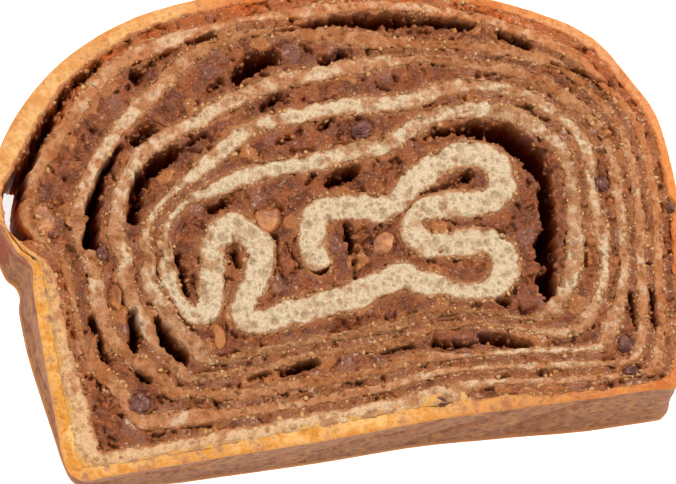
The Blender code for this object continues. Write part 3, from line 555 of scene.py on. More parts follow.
def dough_tube(name, sheet, first, last, ring, surface, replaced=()):
    """A stretch of the sheet as a closed bar, porous where it is cut and ragged at its edges."""
    picked = np.flatnonzero((sheet.length >= first) & (sheet.length <= last))
    share, height = ring_shares(*ring)
    tube = grid_plane(len(picked) - 1, len(share) - 1)
    column, spot = flat_places(tube).round().astype(int)
    station = picked[column]
    share, height = share[spot], height[spot]
    degrees, side, half = sheet.degrees[station], sheet.side[station], sheet.half[station]
    length = sheet.length[station]

    # Edges wander, and stand out less on the inside of a tight bend.
    out = share > 0
    edge = 0.28 * rough(length, 5.0 * out, 2.4, 3) + 0.24 * waves(length, 9.0 * out, 0.95, 8)
    edge += 0.1 * waves(length, 9.0 * out, 0.45, 10)
    edge = np.where(out & (degrees > SKINNED_FROM), 0.0, edge) * np.minimum(1, half)
    limit = np.where(share * sheet.bend[station] > 0, BEND_LIMIT / np.maximum(np.abs(sheet.bend[station]), 1e-3),
                     FAR_AWAY)
    reach = np.where(out, sheet.outer_half[station], half)
    offset = share * np.minimum(reach + edge, limit)
    x, y = sheet.x[station] + side[:, 0] * offset, sheet.y[station] + side[:, 1] * offset

    foam = rough(x, y, 0.9, 61)
    pit = pits_in_crumb(x, y, share, degrees, foam)
    rise = 0.08 + 0.22 * rough(x, y, 3.0, 1) + 0.16 * foam - 0.3 * np.abs(share) ** 4
    sunk = hollow_depth(x, y, shrink=TUCKED_IN)
    top = THICKNESS + rise - PORE_DEPTH * pit - sunk
    under = UNDERSIDE + 0.12 * pit
    on_top, on_base = height == 1, height == 0
    z = np.where(on_top, top, np.where(on_base, under, height * top))

    wall = ~on_top & ~on_base
    skin = out & (degrees > SKIN_FROM) & wall
    push, crease = wall_relief(length, z, skin)
    push = push * wall * np.sign(share)
    x, y = x + side[:, 0] * push, y + side[:, 1] * push

    # Filling soaks into the rims and walls, the oven browns the skin, and the crust's inside bakes red, with a painted
    # glow on the walls beside the hollow under it.
    from_skin = np.where(degrees > SKINNED_FROM, half * (1 - share), FAR_AWAY)
    rim = step_up(0.95, 0.05, half * (1 - np.abs(share)) + 0.35 * rough(x, y, 1.3, 66))
    baked_together = (out & (degrees > FILLING_END)) | (~out & (degrees > FILLING_END + 360))
    rim *= (from_skin > 1.2) & ~baked_together
    soak = table(SOAK, degrees) + 0.3 * rough(x, y, 6.0, 68)
    soak = np.maximum(soak, np.where(wall, SOAKED_WALL, SOAKED_RIM * rim))
    # Walls beside the long hollow under the crust: baked red lifted into a painted glow of light through the thin
    # layers, with little painted shade.
    facing = np.any([(degrees > low) & (degrees < high) for low, high in FACING_LONG_HOLLOW], axis=0) & wall & ~skin
    red = np.where(facing, RED_AND_GLOW_THERE, table(RED, degrees))
    # Painted shade: a wall darkens with its depth below the cut face, and the skin darkens in its creases.
    sunk = np.where(wall, np.maximum(sunk, 0.9 * (THICKNESS - z)), sunk)
    sunk = np.where(facing, 0.15 * sunk, np.where(skin, 3.5 * crease, sunk))
    move(tube, placed(x, y, z))
    # The material paints the pits (pore) and the depth set here as shade.
    mark(tube, soak=soak, gold=table(GOLD, degrees), red=red, skin=skin, pore=np.minimum(pit, 1) * on_top,
         bake=np.exp(-from_skin / BAKED_IN), sunk=sunk)
    bmesh.ops.remove_doubles(tube, verts=tube.verts[:], dist=1e-8)
    bmesh.ops.holes_fill(tube, edges=[e for e in tube.edges if e.is_boundary], sides=0)
    bmesh.ops.recalc_face_normals(tube, faces=tube.faces[:])
    return add_piece(name, tube, surface, replaced)


# Stretches of the sheet: name, degrees where it ends, and corners across its top, down its walls and underneath.
STRETCHES = [("folded_heart", 30, (25, 10, 12)), ("inner_turns", 600, (13, 8, 7)), ("middle_turns", 1160, (13, 8, 7)),
             ("outer_turns", 1480, (13, 10, 7)), ("last_turn", CRUST_START, (13, 10, 7)),
             ("crust", LAST_TURN_END, (13, 18, 7))]
LAPPED = 0.3                      # how far each stretch reaches into the one before


def bake_dough(sheet, crumb):
    """The folded heart, the turns and the crust, each stretch reaching a little into the one before."""
    marks = [0.0] + [float(np.interp(d, sheet.degrees, sheet.length)) for _, d, _ in STRETCHES[:-1]]
    marks.append(sheet.length[-1])
    for (name, _, ring), start, end in zip(STRETCHES, marks, marks[1:]):
        dough_tube(name, sheet, max(start - LAPPED, 0), end, ring, crumb, ["dough"])


# ---- The walnut filling.

CLUMPS, COARSE, FINE, CHUNKS = 2.3, 1.05, 0.5, 4.4     # spacing of the filling's grains
FILLING_DROP, FILLING_RISE = 0.4, 0.45    # how far below the cut face it lies, and the most it stands above
INTO_DOUGH = 0.32                         # how far it reaches into the dough
CRACK_DEPTH, PIT_DEPTH, SEAM_DEPTH = 0.7, 1.2, 0.8
REDDENS, REDDEST, PALER = (1400, 1470), 1560, 1640     # degrees between which the filling under the crust is red
SEAM_END = CRUST_START + 9                # where the crumb under the crust ends
FILLINGS = [("filling_of_inner_turns", 0, 760, ["filling_1"]), ("filling_of_middle_turns", 760, 1240, ["filling_1"]),
            ("filling_of_outer_turns", 1240, FILLING_END, ["filling_1", "filling_2"])]


def filling_top(x, y, room):
    """Height of the crumbly filling, how deep its hollows, cracks and pits go (which the materials paint as shade),
    the lot of each clump, and where larger pieces lie.
    """
    wx, wy = x + 0.9 * rough(x, y, 2.4, 60), y + 0.9 * rough(x, y, 2.4, 63)
    clump, lot = grains(wx, wy, CLUMPS, 2)
    coarse, _ = grains(wx, wy, COARSE, 6)
    fine, _ = grains(x, y, FINE, 18)
    chunk, kind = grains(wx, wy, CHUNKS, 33)
    chunk = step_up(0.46, 0.34, chunk) * (kind > 0.7)
    level = THICKNESS - FILLING_DROP + 0.4 * rough(x, y, 5.0, 5)
    beads = np.sqrt(np.clip(1 - (coarse / 0.8) ** 2, 0, 1)) - 0.7
    grainy = 0.5 * (0.45 - clump) + 0.5 * beads + 0.2 * (0.45 - fine)
    level += grainy * (1 - 0.7 * chunk) + 0.35 * chunk
    beside = step_up(0.9, 0.1, room)
    level += (THICKNESS - 0.2 - level) * 0.7 * beside
    crack = step_up(0.1, 0.01, np.abs(rough(wx, wy, 3.0, 70))) * step_up(-0.2, 0.2, waves(x, y, 4.5, 75))
    pit = step_up(0.42, 0.66, rough(wx, wy, 1.9, 80))
    seam = beside * step_up(0.35, 0.6, rough(x, y, 2.6, 85))
    dip = (CRACK_DEPTH * crack + PIT_DEPTH * pit + SEAM_DEPTH * seam) * (1 - 0.8 * chunk)
    deep = hollow_depth(x, y)
    rubble = 2.4 * rough(x, y, 1.6, 30) + 2.0 * (0.5 - coarse)
    level = np.minimum(level, THICKNESS + 0.4) - dip - deep + rubble * step_up(0.6, 4, deep)
    level = np.clip(level, 1.0, THICKNESS + FILLING_RISE)
    return level, np.maximum(deep, 0.6 * dip), lot, chunk * np.sign(kind - 0.84)


def crumb_top(x, y, room):
    """Height of the crumb where two layers of dough are baked together, in the form that filling_top gives."""
    level = THICKNESS - 0.1 + 0.25 * rough(x, y, 2.0, 5) + 0.1 * waves(x, y, 0.6, 9)
    return level, np.zeros(len(x)), 0.5 + 0.5 * waves(x, y, 1.2, 12), np.zeros(len(x))


def filling_block(name, face_map, lap_from, lap_to, surface, replaced, top=filling_top):
    """A closed block of filling over all the gaps of a range of turns, reaching just into the dough."""
    room, lap = face_map.room, face_map.lap
    lies = (room > -INTO_DOUGH) & (lap >= lap_from) & (lap < lap_to)
    lies &= ~((lap > OPEN_SLOT[0]) & (lap < OPEN_SLOT[1]))
    block = grid_plane(face_map.count[0] - 1, face_map.count[1] - 1)
    column, row = flat_places(block).round().astype(int)
    keep = lies[column, row]
    spare = [f for f in block.faces if not all(keep[v.index] for v in f.verts)]
    bmesh.ops.delete(block, geom=spare, context="FACES")
    column, row = flat_places(block).round().astype(int)
    x, y = face_map.x[column, row], face_map.y[column, row]
    lap, room = lap[column, row], room[column, row]
    z, sunk, lot, chunk = top(x, y, room)
    near_crust = step_up(*REDDENS, lap) * step_up(PALER, REDDEST, lap) * (0.8 + 0.5 * waves(x, y, 5.0, 33))
    beside = step_up(1.1, 0.0, room + 0.4 * rough(x, y, 1.4, 37))
    # The depth of hollows and cracks goes to the material, which paints it as shade.
    mark(block, red=near_crust, gold=np.full(len(x), 0.9), soak=0.2 + 0.3 * lot, sunk=sunk, lot=lot, chunk=chunk,
         height=z, beside=beside)
    layer = block.verts.layers.float["height"]
    for v, px, py in zip(block.verts, x.tolist(), y.tolist()):
        v.co = (px, py, 0.0)
    lifted = bmesh.ops.extrude_face_region(block, geom=block.faces[:])["geom"]
    tops = {v for v in lifted if isinstance(v, bmesh.types.BMVert)}
    x, y = flat_places(block)
    tall = np.array([v[layer] if v in tops else 0.0 for v in block.verts])
    under = 0.1 + 0.25 * grains(x, y, 1.9, 2)[0] + 0.2 * grains(x, y, 0.75, 6)[0]
    z = np.where(tall > 0, tall, under)
    move(block, placed(x, y, z))
    bmesh.ops.recalc_face_normals(block, faces=block.faces[:])
    return add_piece(name, block, surface, replaced)


def fill_the_seam(face_map, crumb):
    """Crumb where the last turn is baked onto the crust."""
    filling_block("crumb_under_the_crust", face_map, FILLING_END, SEAM_END, crumb, (), crumb_top)


def spread_filling(face_map, paste):
    """The filling of the heart, which stands for every islet there, and of the turns."""
    heart_nodes = [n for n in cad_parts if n.startswith("filling_") and n not in ("filling_1", "filling_2")]
    filling_block("filling_of_the_heart", face_map, HEART_DEGREES - 1, 0, paste, heart_nodes)
    for name, lap_from, lap_to, replaced in FILLINGS:
        filling_block(name, face_map, lap_from, lap_to, paste, replaced)


# ---- Raisins, nut pieces and loose crumbs.

MORSEL_DEPTH = 4.0
MORSEL_RISE = 0.35                # how far a raisin or nut piece stands out of the cut face
FACETS = 10
CRUMB_AREA = ((-58, 59), (-39, 41))
TRIES = 40                        # places tried for each crumb
CRUMB_RISE = 0.5                  # the most that a crumb stands above the cut face


def morsel(name, x, y, length, width, turn, surface, slot, wrinkle, replaced=()):
    """A raisin or nut piece lying in the cut face, its surface pushed in and out by wrinkle(place)."""
    lump = bmesh.new()
    bmesh.ops.create_icosphere(lump, subdivisions=5, radius=1.0)
    away = np.array([v.co[:] for v in lump.verts])
    lopsided = 1 + 0.16 * rough(away[:, 0] + x, away[:, 1] + y, 1.1, 14, 2)
    size = (lopsided + wrinkle(away, x + y))[:, None] * away * np.array([length, width, MORSEL_DEPTH]) / 2
    angle = math.radians(turn)
    px = x + size[:, 0] * math.cos(angle) - size[:, 1] * math.sin(angle)
    py = y + size[:, 0] * math.sin(angle) + size[:, 1] * math.cos(angle)
    pz = np.minimum(THICKNESS + MORSEL_RISE - MORSEL_DEPTH / 2 + size[:, 2], THICKNESS + MORSEL_RISE)
    move(lump, placed(px, py, pz))
    return add_piece(name, lump, surface, replaced)


def raisin_wrinkles(away, seed):
    """Folds of dried skin, running the long way."""
    folds = np.abs(rough(away[:, 1] * 2.2 + 0.4 * away[:, 0], away[:, 2] * 2.2, 0.5, 3 + seed % 7))
    return -0.26 * folds + 0.08 * rough(away[:, 0], away[:, 1], 0.8, 9 + seed % 5) - 0.02


def nut_facets(away, seed):
    """Flat broken faces with rounded edges."""
    chance = np.random.default_rng(int(abs(seed) * 10))
    turns = chance.normal(size=(FACETS, 3))
    turns /= np.linalg.norm(turns, axis=1)[:, None]
    reach = away @ turns.T
    far = chance.uniform(0.55, 0.85, FACETS)
    cut = np.minimum(1.05, np.min(np.where(reach > 0.2, far / np.maximum(reach, 0.2), 2.0), axis=1))
    return cut - 1 + 0.05 * rough(away[:, 0], away[:, 1] + away[:, 2], 0.5, 4)


def on_the_filling(room, deep):
    """Room is the distance to the dough, and deep the depth of the hollow there, which is not used here."""
    return room > 0.1


def on_the_slopes(room, deep):
    return (room > 0.1) & (deep > 0.3) & (deep < 5)


def along_the_dough(room, deep):
    return (np.abs(room) < 0.35) & (deep < 0.8)


# Loose crumbs: name, how many, their least and greatest size, seed, where they lie, and whether they are of dough.
CRUMBS = [("loose_crumbs", 1500, (0.35, 0.9), 5, on_the_filling, 0.0),
          ("crumbs_at_the_hollows", 1000, (0.6, 1.5), 6, on_the_slopes, 0.0),
          ("crumbs_along_the_dough", 3000, (0.45, 1.1), 7, along_the_dough, 1.0)]


def scatter_crumbs(face_map, surface, name, count, sizes, seed, lies, pale):
    """Loose crumbs as one mesh, where lies(room, depth of the hollow) allows them."""
    chance = np.random.default_rng(seed)
    x, y = [chance.uniform(low, high, count * TRIES) for low, high in CRUMB_AREA]
    room, lap = face_map.read(face_map.room, x, y), face_map.read(face_map.lap, x, y)
    chosen = (lap > OUTSIDE) & (lap < FILLING_END) & ~((lap > OPEN_SLOT[0]) & (lap < OPEN_SLOT[1]))
    chosen = np.flatnonzero(chosen & lies(room, hollow_depth(x, y)))[:count]
    x, y = x[chosen], y[chosen]
    level, sunk, _, _ = filling_top(x, y, room[chosen])
    level = np.where(room[chosen] < 0, THICKNESS - 0.05, level)
    size = chance.uniform(*sizes, len(x)) * chance.uniform(0.6, 1, len(x))
    seedling = bmesh.new()
    bmesh.ops.create_icosphere(seedling, subdivisions=1, radius=0.5)
    ball = np.array([v.co[:] for v in seedling.verts])
    mesh = bpy.data.meshes.new(name)
    seedling.to_mesh(mesh)
    seedling.free()
    piece = bpy.data.objects.new(name, mesh)
    bpy.context.collection.objects.link(piece)
    rows = piece.modifiers.new("rows", "ARRAY")
    rows.count = len(x)
    rows.use_relative_offset = False
    rows.use_constant_offset = True
    rows.constant_offset_displace = (1, 0, 0)
    made = bpy.data.meshes.new_from_object(piece.evaluated_get(bpy.context.evaluated_depsgraph_get()))
    piece.modifiers.clear()
    piece.data = made
    stretch = chance.uniform(0.55, 1.4, (len(x), 1, 3)) * size[:, None, None]
    bumps = chance.uniform(0.5, 1.35, (len(x), len(ball), 1))
    spots = ball[None] * bumps * stretch
    px, py = x[:, None] + spots[..., 0], y[:, None] + spots[..., 1]
    pz = np.clip((level - 0.15 * size)[:, None] + spots[..., 2], 0.3, THICKNESS + CRUMB_RISE)
    made.vertices.foreach_set("co", placed(px, py, pz).ravel())
    made.update()
    made.materials.append(surface)
    made.shade_smooth()
    lot = chance.uniform(0, 1, len(x))
    for field, values in (("lot", lot), ("sunk", sunk), ("pale", np.full(len(x), pale))):
        layer = made.attributes.new(field, "FLOAT", "POINT")
        layer.data.foreach_set("value", np.repeat(values, len(ball)).astype(np.float32))
    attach(piece, "root")
    return piece


# ---- Materials.

SOFT = {"interpolation_type": "SMOOTHSTEP"}     # a coat's share rises with rounded corners
STEADY = {"interpolation_type": "LINEAR"}       # a coat's share rises in a straight line


def srgb(hex_colour):
    """Linear colour of an sRGB hex value."""
    parts = [int(hex_colour[i:i + 2], 16) / 255 for i in (1, 3, 5)]
    return [c / 12.92 if c <= 0.04045 else ((c + 0.055) / 1.055) ** 2.4 for c in parts] + [1.0]


def node(tree, kind, settings=None, **links):
    """Adds a node: settings are its properties, links its inputs by name or number, as values or as sockets."""
    made = tree.nodes.new(kind)
    for key, value in (settings or {}).items():
        setattr(made, key, value)
    for key, value in links.items():
        numbered = key.startswith("in") and key[2:].isdigit()
        socket = made.inputs[int(key[2:]) if numbered else key.replace("_", " ")]
        if isinstance(value, bpy.types.NodeSocket):
            tree.links.new(value, socket)
        else:
            socket.default_value = value
    return made


def new_material(name, roughness, **fixed):
    """A material with its tree and shader, and the values that are the same all over it."""
    made = bpy.data.materials.new(name)
    made.use_nodes = True
    shader = made.node_tree.nodes["Principled BSDF"]
    shader.inputs["Roughness"].default_value = roughness
    for key, value in fixed.items():
        shader.inputs[key.replace("_", " ")].default_value = value
    return made, made.node_tree, shader


def per_mm(size):
    """Pattern scale for features of a size in millimetres."""
    return 1000.0 / size


def warped(tree, where, size, amount):
    """The place, pushed about by a soft noise, so that cells are no longer regular."""
    push = node(tree, "ShaderNodeTexNoise", Vector=where, Scale=per_mm(size), Detail=1.0)
    centred = node(tree, "ShaderNodeVectorMath", {"operation": "SUBTRACT"}, in0=push.outputs["Color"],
                   in1=(0.5, 0.5, 0.5))
    scaled = node(tree, "ShaderNodeVectorMath", {"operation": "SCALE"}, in0=centred.outputs[0], Scale=amount * MM)
    return node(tree, "ShaderNodeVectorMath", {"operation": "ADD"}, in0=where, in1=scaled.outputs[0]).outputs[0]


def laid_over(tree, base, coats, blend="MIX"):
    """Lays coats of colour over a base. Each is (rise, pattern, low, high, most, colour): it covers nothing where its
    pattern is low, and most where it is high."""
    colour = srgb(base) if isinstance(base, str) else base
    for rise, pattern, low, high, most, coat in coats:
        share = node(tree, "ShaderNodeMapRange", rise, in0=pattern, in1=low, in2=high, in3=0.0, in4=most)
        layer = node(tree, "ShaderNodeMix", {"data_type": "RGBA", "blend_type": blend}, in0=share.outputs[0],
                     in6=colour, in7=srgb(coat) if isinstance(coat, str) else coat)
        colour = layer.outputs[2]
    return colour


def dress(tree, shader, colour, height, strength, depth):
    """Gives a material its colour and its finest relief, depth in millimetres."""
    relief = node(tree, "ShaderNodeBump", Strength=strength, Distance=depth * MM, Height=height)
    tree.links.new(colour, shader.inputs["Base Color"])
    tree.links.new(relief.outputs["Normal"], shader.inputs["Normal"])


def sweet_crumb():
    """Baked sweet yeast dough: an open cream crumb, browned where filling soaks in, golden to brown at the crust, with
    painted shade in its pores, hollows and creases.
    """
    made, tree, shader = new_material("baked_yeast_dough", 0.7, Specular_IOR_Level=0.18, Subsurface_Weight=0.3,
                                      Subsurface_Radius=(1.0, 0.5, 0.25), Subsurface_Scale=1.2 * MM)
    soak, gold, red, skin, pit, bake, sunk = [
        node(tree, "ShaderNodeAttribute", {"attribute_name": name}).outputs["Fac"]
        for name in ("soak", "gold", "red", "skin", "pore", "bake", "sunk")]
    where = node(tree, "ShaderNodeTexCoord").outputs["Object"]
    blotch, grit, freckle = [
        node(tree, "ShaderNodeTexNoise", Vector=where, Scale=per_mm(size), Detail=detail, Roughness=rough_share)
        .outputs["Fac"] for size, detail, rough_share in ((2.6, 5.0, 0.62), (0.4, 3.0, 0.65), (1.3, 6.0, 0.7))]

    # Pores and pinholes of uneven size, fewer where the dough is golden.
    loose = warped(tree, where, 1.1, 0.9)
    pores = []
    for size, channel, spread, edge, centre in ((1.25, 0, 0.3, 0.12, -0.02), (0.55, 1, 0.34, 0.16, 0.0)):
        cell = node(tree, "ShaderNodeTexVoronoi", Vector=loose, Scale=per_mm(size))
        lot = node(tree, "ShaderNodeSeparateColor", Color=cell.outputs["Color"]).outputs[channel]
        uneven = node(tree, "ShaderNodeMath", {"operation": "MULTIPLY_ADD"}, in0=lot, in1=-spread,
                      in2=cell.outputs["Distance"])
        pores.append(node(tree, "ShaderNodeMapRange", SOFT, in0=uneven.outputs[0], in1=edge, in2=centre).outputs[0])
    open_crumb = node(tree, "ShaderNodeMapRange", SOFT, in0=gold, in1=0.0, in2=0.8, in3=1.0, in4=0.7).outputs[0]
    pore, pinhole = [node(tree, "ShaderNodeMath", {"operation": "MULTIPLY"}, in0=hole, in1=open_crumb).outputs[0]
                     for hole in pores]

    drift = node(tree, "ShaderNodeMapRange", SOFT, in0=blotch, in1=0.36, in2=0.66, in3=-0.22, in4=0.26)
    soaked = node(tree, "ShaderNodeMath", {"operation": "ADD"}, in0=soak, in1=drift.outputs[0]).outputs[0]
    pale, tan, brown = [
        laid_over(tree, shade, [(SOFT, grit, 0.2, 0.72, 1.0, light)])
        for shade, light in (("#A58F72", "#CBBCA2"), ("#90684A", "#AE8460"), ("#72472A", "#94623A"))]
    yolk = laid_over(tree, "#C28A38", [(SOFT, blotch, 0.38, 0.62, 1.0, "#E2BE7A")])
    crumb = laid_over(tree, pale, [
        (STEADY, gold, 0.0, 1.0, 1.0, yolk),
        (SOFT, soaked, 0.12, 0.5, 1.0, tan),
        (SOFT, soaked, 0.42, 0.95, 1.0, brown),
        # Red: the crust's baked sugar, and a painted glow on the walls beside the hollow under the crust.
        (STEADY, red, 0.0, 1.0, 1.0, "#CC681E")])
    # Painted shade in the pits, pores and pinholes of the crumb.
    crumb = laid_over(tree, crumb, [
        (STEADY, pit, 0.0, 1.0, 0.4, "#B89468"),
        (STEADY, pore, 0.0, 1.0, 0.25, "#A8986C"),
        (STEADY, pinhole, 0.0, 1.0, 0.3, "#B4A47C")], blend="MULTIPLY")
    rind = laid_over(tree, "#643A1E", [
        (SOFT, freckle, 0.36, 0.66, 1.0, "#AA7440"),
        (SOFT, blotch, 0.35, 0.65, 0.7, "#7E4C34")])
    # The oven's colour near the skin, the skin itself, and painted shade in the hollows, down the walls and in the
    # skin's creases.
    colour = laid_over(tree, crumb, [
        (STEADY, bake, 0.0, 1.0, 0.5, "#B97430"),
        (STEADY, skin, 0.0, 1.0, 1.0, rind),
        (SOFT, sunk, 0.6, 6.0, 0.85, "#702410")])

    holes = node(tree, "ShaderNodeMath", {"operation": "ADD"}, in0=pores[0], in1=pores[1])
    grain = node(tree, "ShaderNodeMath", {"operation": "MULTIPLY"}, in0=grit, in1=0.8)
    height = node(tree, "ShaderNodeMath", {"operation": "MULTIPLY_ADD"}, in0=holes.outputs[0], in1=-0.45,
                  in2=grain.outputs[0])
    off_skin = node(tree, "ShaderNodeMapRange", SOFT, in0=skin, in1=0.0, in2=1.0, in3=1.0, in4=0.12)
    height = node(tree, "ShaderNodeMath", {"operation": "MULTIPLY"}, in0=height.outputs[0], in1=off_skin.outputs[0])
    dress(tree, shader, colour, height.outputs[0], 0.5, 0.3)
    return made


def walnut_paste():
    """Ground walnuts bound with sugar, butter and cream: moist brown grains that catch small lights, with painted
    glints on the grains and painted shade in their dips and hollows.
    """
    made, tree, shader = new_material("walnut_filling", 0.4, Coat_Roughness=0.16, Subsurface_Weight=0.3,
                                      Subsurface_Radius=(1.0, 0.35, 0.15), Subsurface_Scale=1.5 * MM)
    lot, chunk, beside, red, sunk = [
        node(tree, "ShaderNodeAttribute", {"attribute_name": name}).outputs["Fac"]
        for name in ("lot", "chunk", "beside", "red", "sunk")]
    where = node(tree, "ShaderNodeTexCoord").outputs["Object"]
    blotch, grit = [
        node(tree, "ShaderNodeTexNoise", Vector=where, Scale=per_mm(size), Detail=4.0, Roughness=rough_share)
        .outputs["Fac"] for size, rough_share in ((3.4, 0.6), (0.35, 0.65))]
    chips, fine = [node(tree, "ShaderNodeTexVoronoi", Vector=warped(tree, where, 0.9, 0.8), Scale=per_mm(size)).outputs
                   for size in (0.9, 0.42)]
    chip = node(tree, "ShaderNodeSeparateColor", Color=chips["Color"]).outputs

    paste = laid_over(tree, "#622F0F", [
        (SOFT, blotch, 0.36, 0.64, 1.0, "#8E4C20"),
        (SOFT, chip[0], 0.72, 0.98, 0.45, "#985624"),
        (SOFT, chip[1], 0.7, 0.98, 0.35, "#7A4A40"),
        (SOFT, chip[2], 0.8, 1.0, 0.5, "#5E3016"),
        (SOFT, lot, 0.84, 0.9, 0.5, "#9C5E2E"),
        (SOFT, lot, 0.14, 0.08, 0.35, "#744A3E"),
        (SOFT, chunk, 0.1, 0.9, 0.65, "#B07038"),
        (SOFT, chunk, -0.1, -0.9, 0.5, "#80564A"),
        # Low grains get painted shade and high grains painted pinkish glints, following the relief that grit also
        # gives.
        (SOFT, grit, 0.52, 0.36, 0.35, "#582008"),
        (SOFT, grit, 0.58, 0.72, 0.6, "#D8A486"),
        (STEADY, beside, 0.0, 1.0, 0.6, "#9C6438"),
        (STEADY, red, 0.0, 1.3, 0.845, "#BC5C18")])
    # Painted shade deep in the hollows, cracks and pits, redder near the crust.
    deep = laid_over(tree, "#6A1E08", [(STEADY, red, 0.0, 1.0, 1.0, "#8A300A")])
    colour = laid_over(tree, paste, [(SOFT, sunk, 0.3, 6.0, 0.9, deep)])

    # The grains shine unevenly, and nothing shines deep in a hollow.
    for socket, pattern, low, high, at_low, at_high in (("Roughness", grit, 0.35, 0.65, 0.28, 0.6),
                                                        ("Specular IOR Level", sunk, 1.0, 4.0, 0.3, 0.0),
                                                        ("Coat Weight", sunk, 1.0, 4.0, 0.12, 0.0)):
        amount = node(tree, "ShaderNodeMapRange", SOFT, in0=pattern, in1=low, in2=high, in3=at_low, in4=at_high)
        tree.links.new(amount.outputs[0], shader.inputs[socket])
    grain = node(tree, "ShaderNodeMath", {"operation": "MULTIPLY"}, in0=grit, in1=0.9)
    height = node(tree, "ShaderNodeMath", {"operation": "MULTIPLY_ADD"}, in0=fine["Distance"], in1=-0.7,
                  in2=grain.outputs[0])
    dress(tree, shader, colour, height.outputs[0], 0.8, 0.4)
    return made


def loose_crumb():
    """Crumbs of filling and soaked dough, each of its own brown, with painted shade where they lie in a hollow."""
    made, tree, shader = new_material("loose_crumbs", 0.5)
    lot, pale, sunk = [node(tree, "ShaderNodeAttribute", {"attribute_name": name}).outputs["Fac"]
                       for name in ("lot", "pale", "sunk")]
    where = node(tree, "ShaderNodeTexCoord").outputs["Object"]
    grit = node(tree, "ShaderNodeTexNoise", Vector=where, Scale=per_mm(0.3), Detail=2.0)
    tan = laid_over(tree, "#8A5A34", [(SOFT, lot, 0.1, 0.9, 1.0, "#BC905E")])
    colour = laid_over(tree, "#703816", [
        (SOFT, lot, 0.0, 0.6, 1.0, "#8E5428"),
        (SOFT, lot, 0.92, 1.0, 1.0, "#A86C38"),
        (STEADY, pale, 0.0, 1.0, 1.0, tan),
        (SOFT, sunk, 0.3, 5.0, 0.85, "#401710")])
    dress(tree, shader, colour, grit.outputs["Fac"], 0.5, 0.2)
    return made


def raisin_skin():
    """Dried grape skin: nearly black purple, wrinkled, with a sticky shine."""
    made, tree, shader = new_material("raisin_skin", 0.45, Specular_IOR_Level=0.3, Coat_Weight=0.06,
                                      Coat_Roughness=0.2)
    where = node(tree, "ShaderNodeTexCoord").outputs["Object"]
    bloom = node(tree, "ShaderNodeTexNoise", Vector=where, Scale=per_mm(1.2), Detail=4.0, Roughness=0.6).outputs["Fac"]
    colour = laid_over(tree, "#4A2620", [(SOFT, bloom, 0.35, 0.68, 1.0, "#80544A")])
    dress(tree, shader, colour, bloom, 0.5, 0.3)
    return made


def walnut_kernel():
    """Baked walnut kernel: waxy amber broken faces with patches of darker skin."""
    made, tree, shader = new_material("walnut_kernel", 0.35, Subsurface_Weight=0.3, Subsurface_Scale=1.5 * MM)
    where = node(tree, "ShaderNodeTexCoord").outputs["Object"]
    patch, grain = [
        node(tree, "ShaderNodeTexNoise", Vector=where, Scale=per_mm(size), Detail=3.0, Roughness=rough_share)
        .outputs["Fac"] for size, rough_share in ((2.6, 0.5), (0.4, 0.6))]
    colour = laid_over(tree, "#B0743F", [
        (SOFT, patch, 0.4, 0.6, 1.0, "#8A532D"),
        (SOFT, grain, 0.45, 0.7, 0.35, "#8A5636")])
    dress(tree, shader, colour, grain, 0.45, 0.3)
    return made


def white_board():
    """Matt white board, lit a little from within so that it stays even."""
    made, _, shader = new_material("white_painted_board", 0.9)
    shader.inputs["Base Color"].default_value = srgb("#F4F3F1")
    shader.inputs["Emission Color"].default_value = srgb("#FFFFFF")
    shader.inputs["Emission Strength"].default_value = 0.8
    return made


# ---- Floor, camera and lights.

CAMERA_AZIMUTH, CAMERA_ELEVATION, CAMERA_ROLL = (math.radians(a) for a in (-35.0, 72.0, 25.16))
LENS, SENSOR = 300.0, 36.0
CAMERA_DISTANCE = 979.7
CLIP = (0.05, 20.0)                # metres
AIM = Vector((-0.85, -5.55, THICKNESS))
FLOOR_HALF = 3.0                   # metres
STUDIO_LIGHT = 0.62
# Softboxes: name, place to the camera's right, up and back, power in watts, width and colour.
LIGHTS = [("key", (350, 520, 620), 7.2, 160, "#FFF0E0"), ("fill", (-500, -200, 700), 3.0, 600, "#FFF8F0")]


def camera_axes():
    """The camera's right, its up and the way back to it, in the slice's frame."""
    back = Vector((math.sin(CAMERA_AZIMUTH) * math.cos(CAMERA_ELEVATION),
                   -math.cos(CAMERA_AZIMUTH) * math.cos(CAMERA_ELEVATION), math.sin(CAMERA_ELEVATION)))
    level = Vector((math.cos(CAMERA_AZIMUTH), math.sin(CAMERA_AZIMUTH), 0))
    upright = back.cross(level)
    right = math.cos(CAMERA_ROLL) * level + math.sin(CAMERA_ROLL) * upright
    up = -math.sin(CAMERA_ROLL) * level + math.cos(CAMERA_ROLL) * upright
    return right, up, back


def add_light(axes, name, place, power, size, colour):
    """A square softbox, aimed at the slice, with its place along the axes in millimetres from the slice."""
    lamp = bpy.data.lights.new(name, "AREA")
    lamp.energy = power
    lamp.size = size * MM
    lamp.color = srgb(colour)[:3]
    thing = bpy.data.objects.new(name, lamp)
    bpy.context.collection.objects.link(thing)
    away = sum((axis * far for axis, far in zip(axes, place)), Vector())
    thing.location = away * MM
    thing.rotation_euler = ((away - AIM) * MM).to_track_quat("Z", "Y").to_euler()


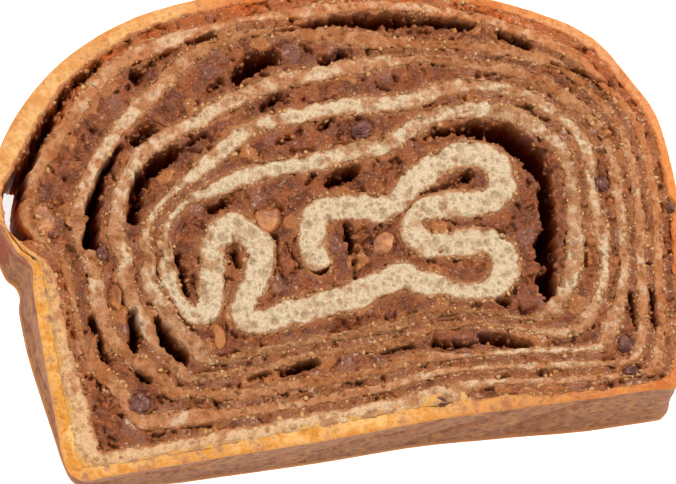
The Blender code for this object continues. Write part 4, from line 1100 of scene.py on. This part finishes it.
def set_stage():
    """The floor, camera, softboxes and even studio light."""
    floor_shape = bmesh.new()
    bmesh.ops.create_grid(floor_shape, x_segments=1, y_segments=1, size=FLOOR_HALF)
    mesh = bpy.data.meshes.new("floor")
    floor_shape.to_mesh(mesh)
    floor_shape.free()
    mesh.materials.append(white_board())
    floor = bpy.data.objects.new("floor", mesh)
    bpy.context.collection.objects.link(floor)

    axes = camera_axes()
    right, up, back = axes
    lens = bpy.data.cameras.new("camera")
    lens.lens, lens.sensor_width, lens.sensor_fit = LENS, SENSOR, "HORIZONTAL"
    lens.clip_start, lens.clip_end = CLIP
    camera = bpy.data.objects.new("camera", lens)
    bpy.context.collection.objects.link(camera)
    turn = Matrix((right, up, back)).transposed().to_4x4()
    camera.matrix_world = Matrix.Translation((AIM + back * CAMERA_DISTANCE) * MM) @ turn
    bpy.context.scene.camera = camera

    for light in LIGHTS:
        add_light(axes, *light)
    world = bpy.data.worlds.new("studio")
    world.use_nodes = True
    world.node_tree.nodes["Background"].inputs["Color"].default_value = srgb("#FFFFFF")
    world.node_tree.nodes["Background"].inputs["Strength"].default_value = STUDIO_LIGHT
    bpy.context.scene.world = world
    bpy.context.scene.view_settings.view_transform = "Standard"


# ---- The slice.


def main():
    """Bakes the slice piece by piece and sets it on the floor."""
    sheet = Sheet()
    face_map = FaceMap(sheet)
    set_stage()
    crumb = sweet_crumb()
    bake_dough(sheet, crumb)
    fill_the_seam(face_map, crumb)
    spread_filling(face_map, walnut_paste())
    skin, kernel = raisin_skin(), walnut_kernel()
    for number, raisin in enumerate(RAISINS, start=1):
        morsel(f"raisin_{number}", *raisin, skin, "raisin", raisin_wrinkles, [f"raisin_{number}"])
    for number, walnut in enumerate(WALNUTS, start=1):
        morsel(f"walnut_{number}", *walnut, kernel, "walnut", nut_facets, [f"walnut_{number}"])
    for number, chip in enumerate(NUT_CHIPS, start=1):
        morsel(f"nut_chip_{number}", *chip, kernel, "walnut", nut_facets)
    crumbs = loose_crumb()
    for kind in CRUMBS:
        scatter_crumbs(face_map, crumbs, *kind)


main()
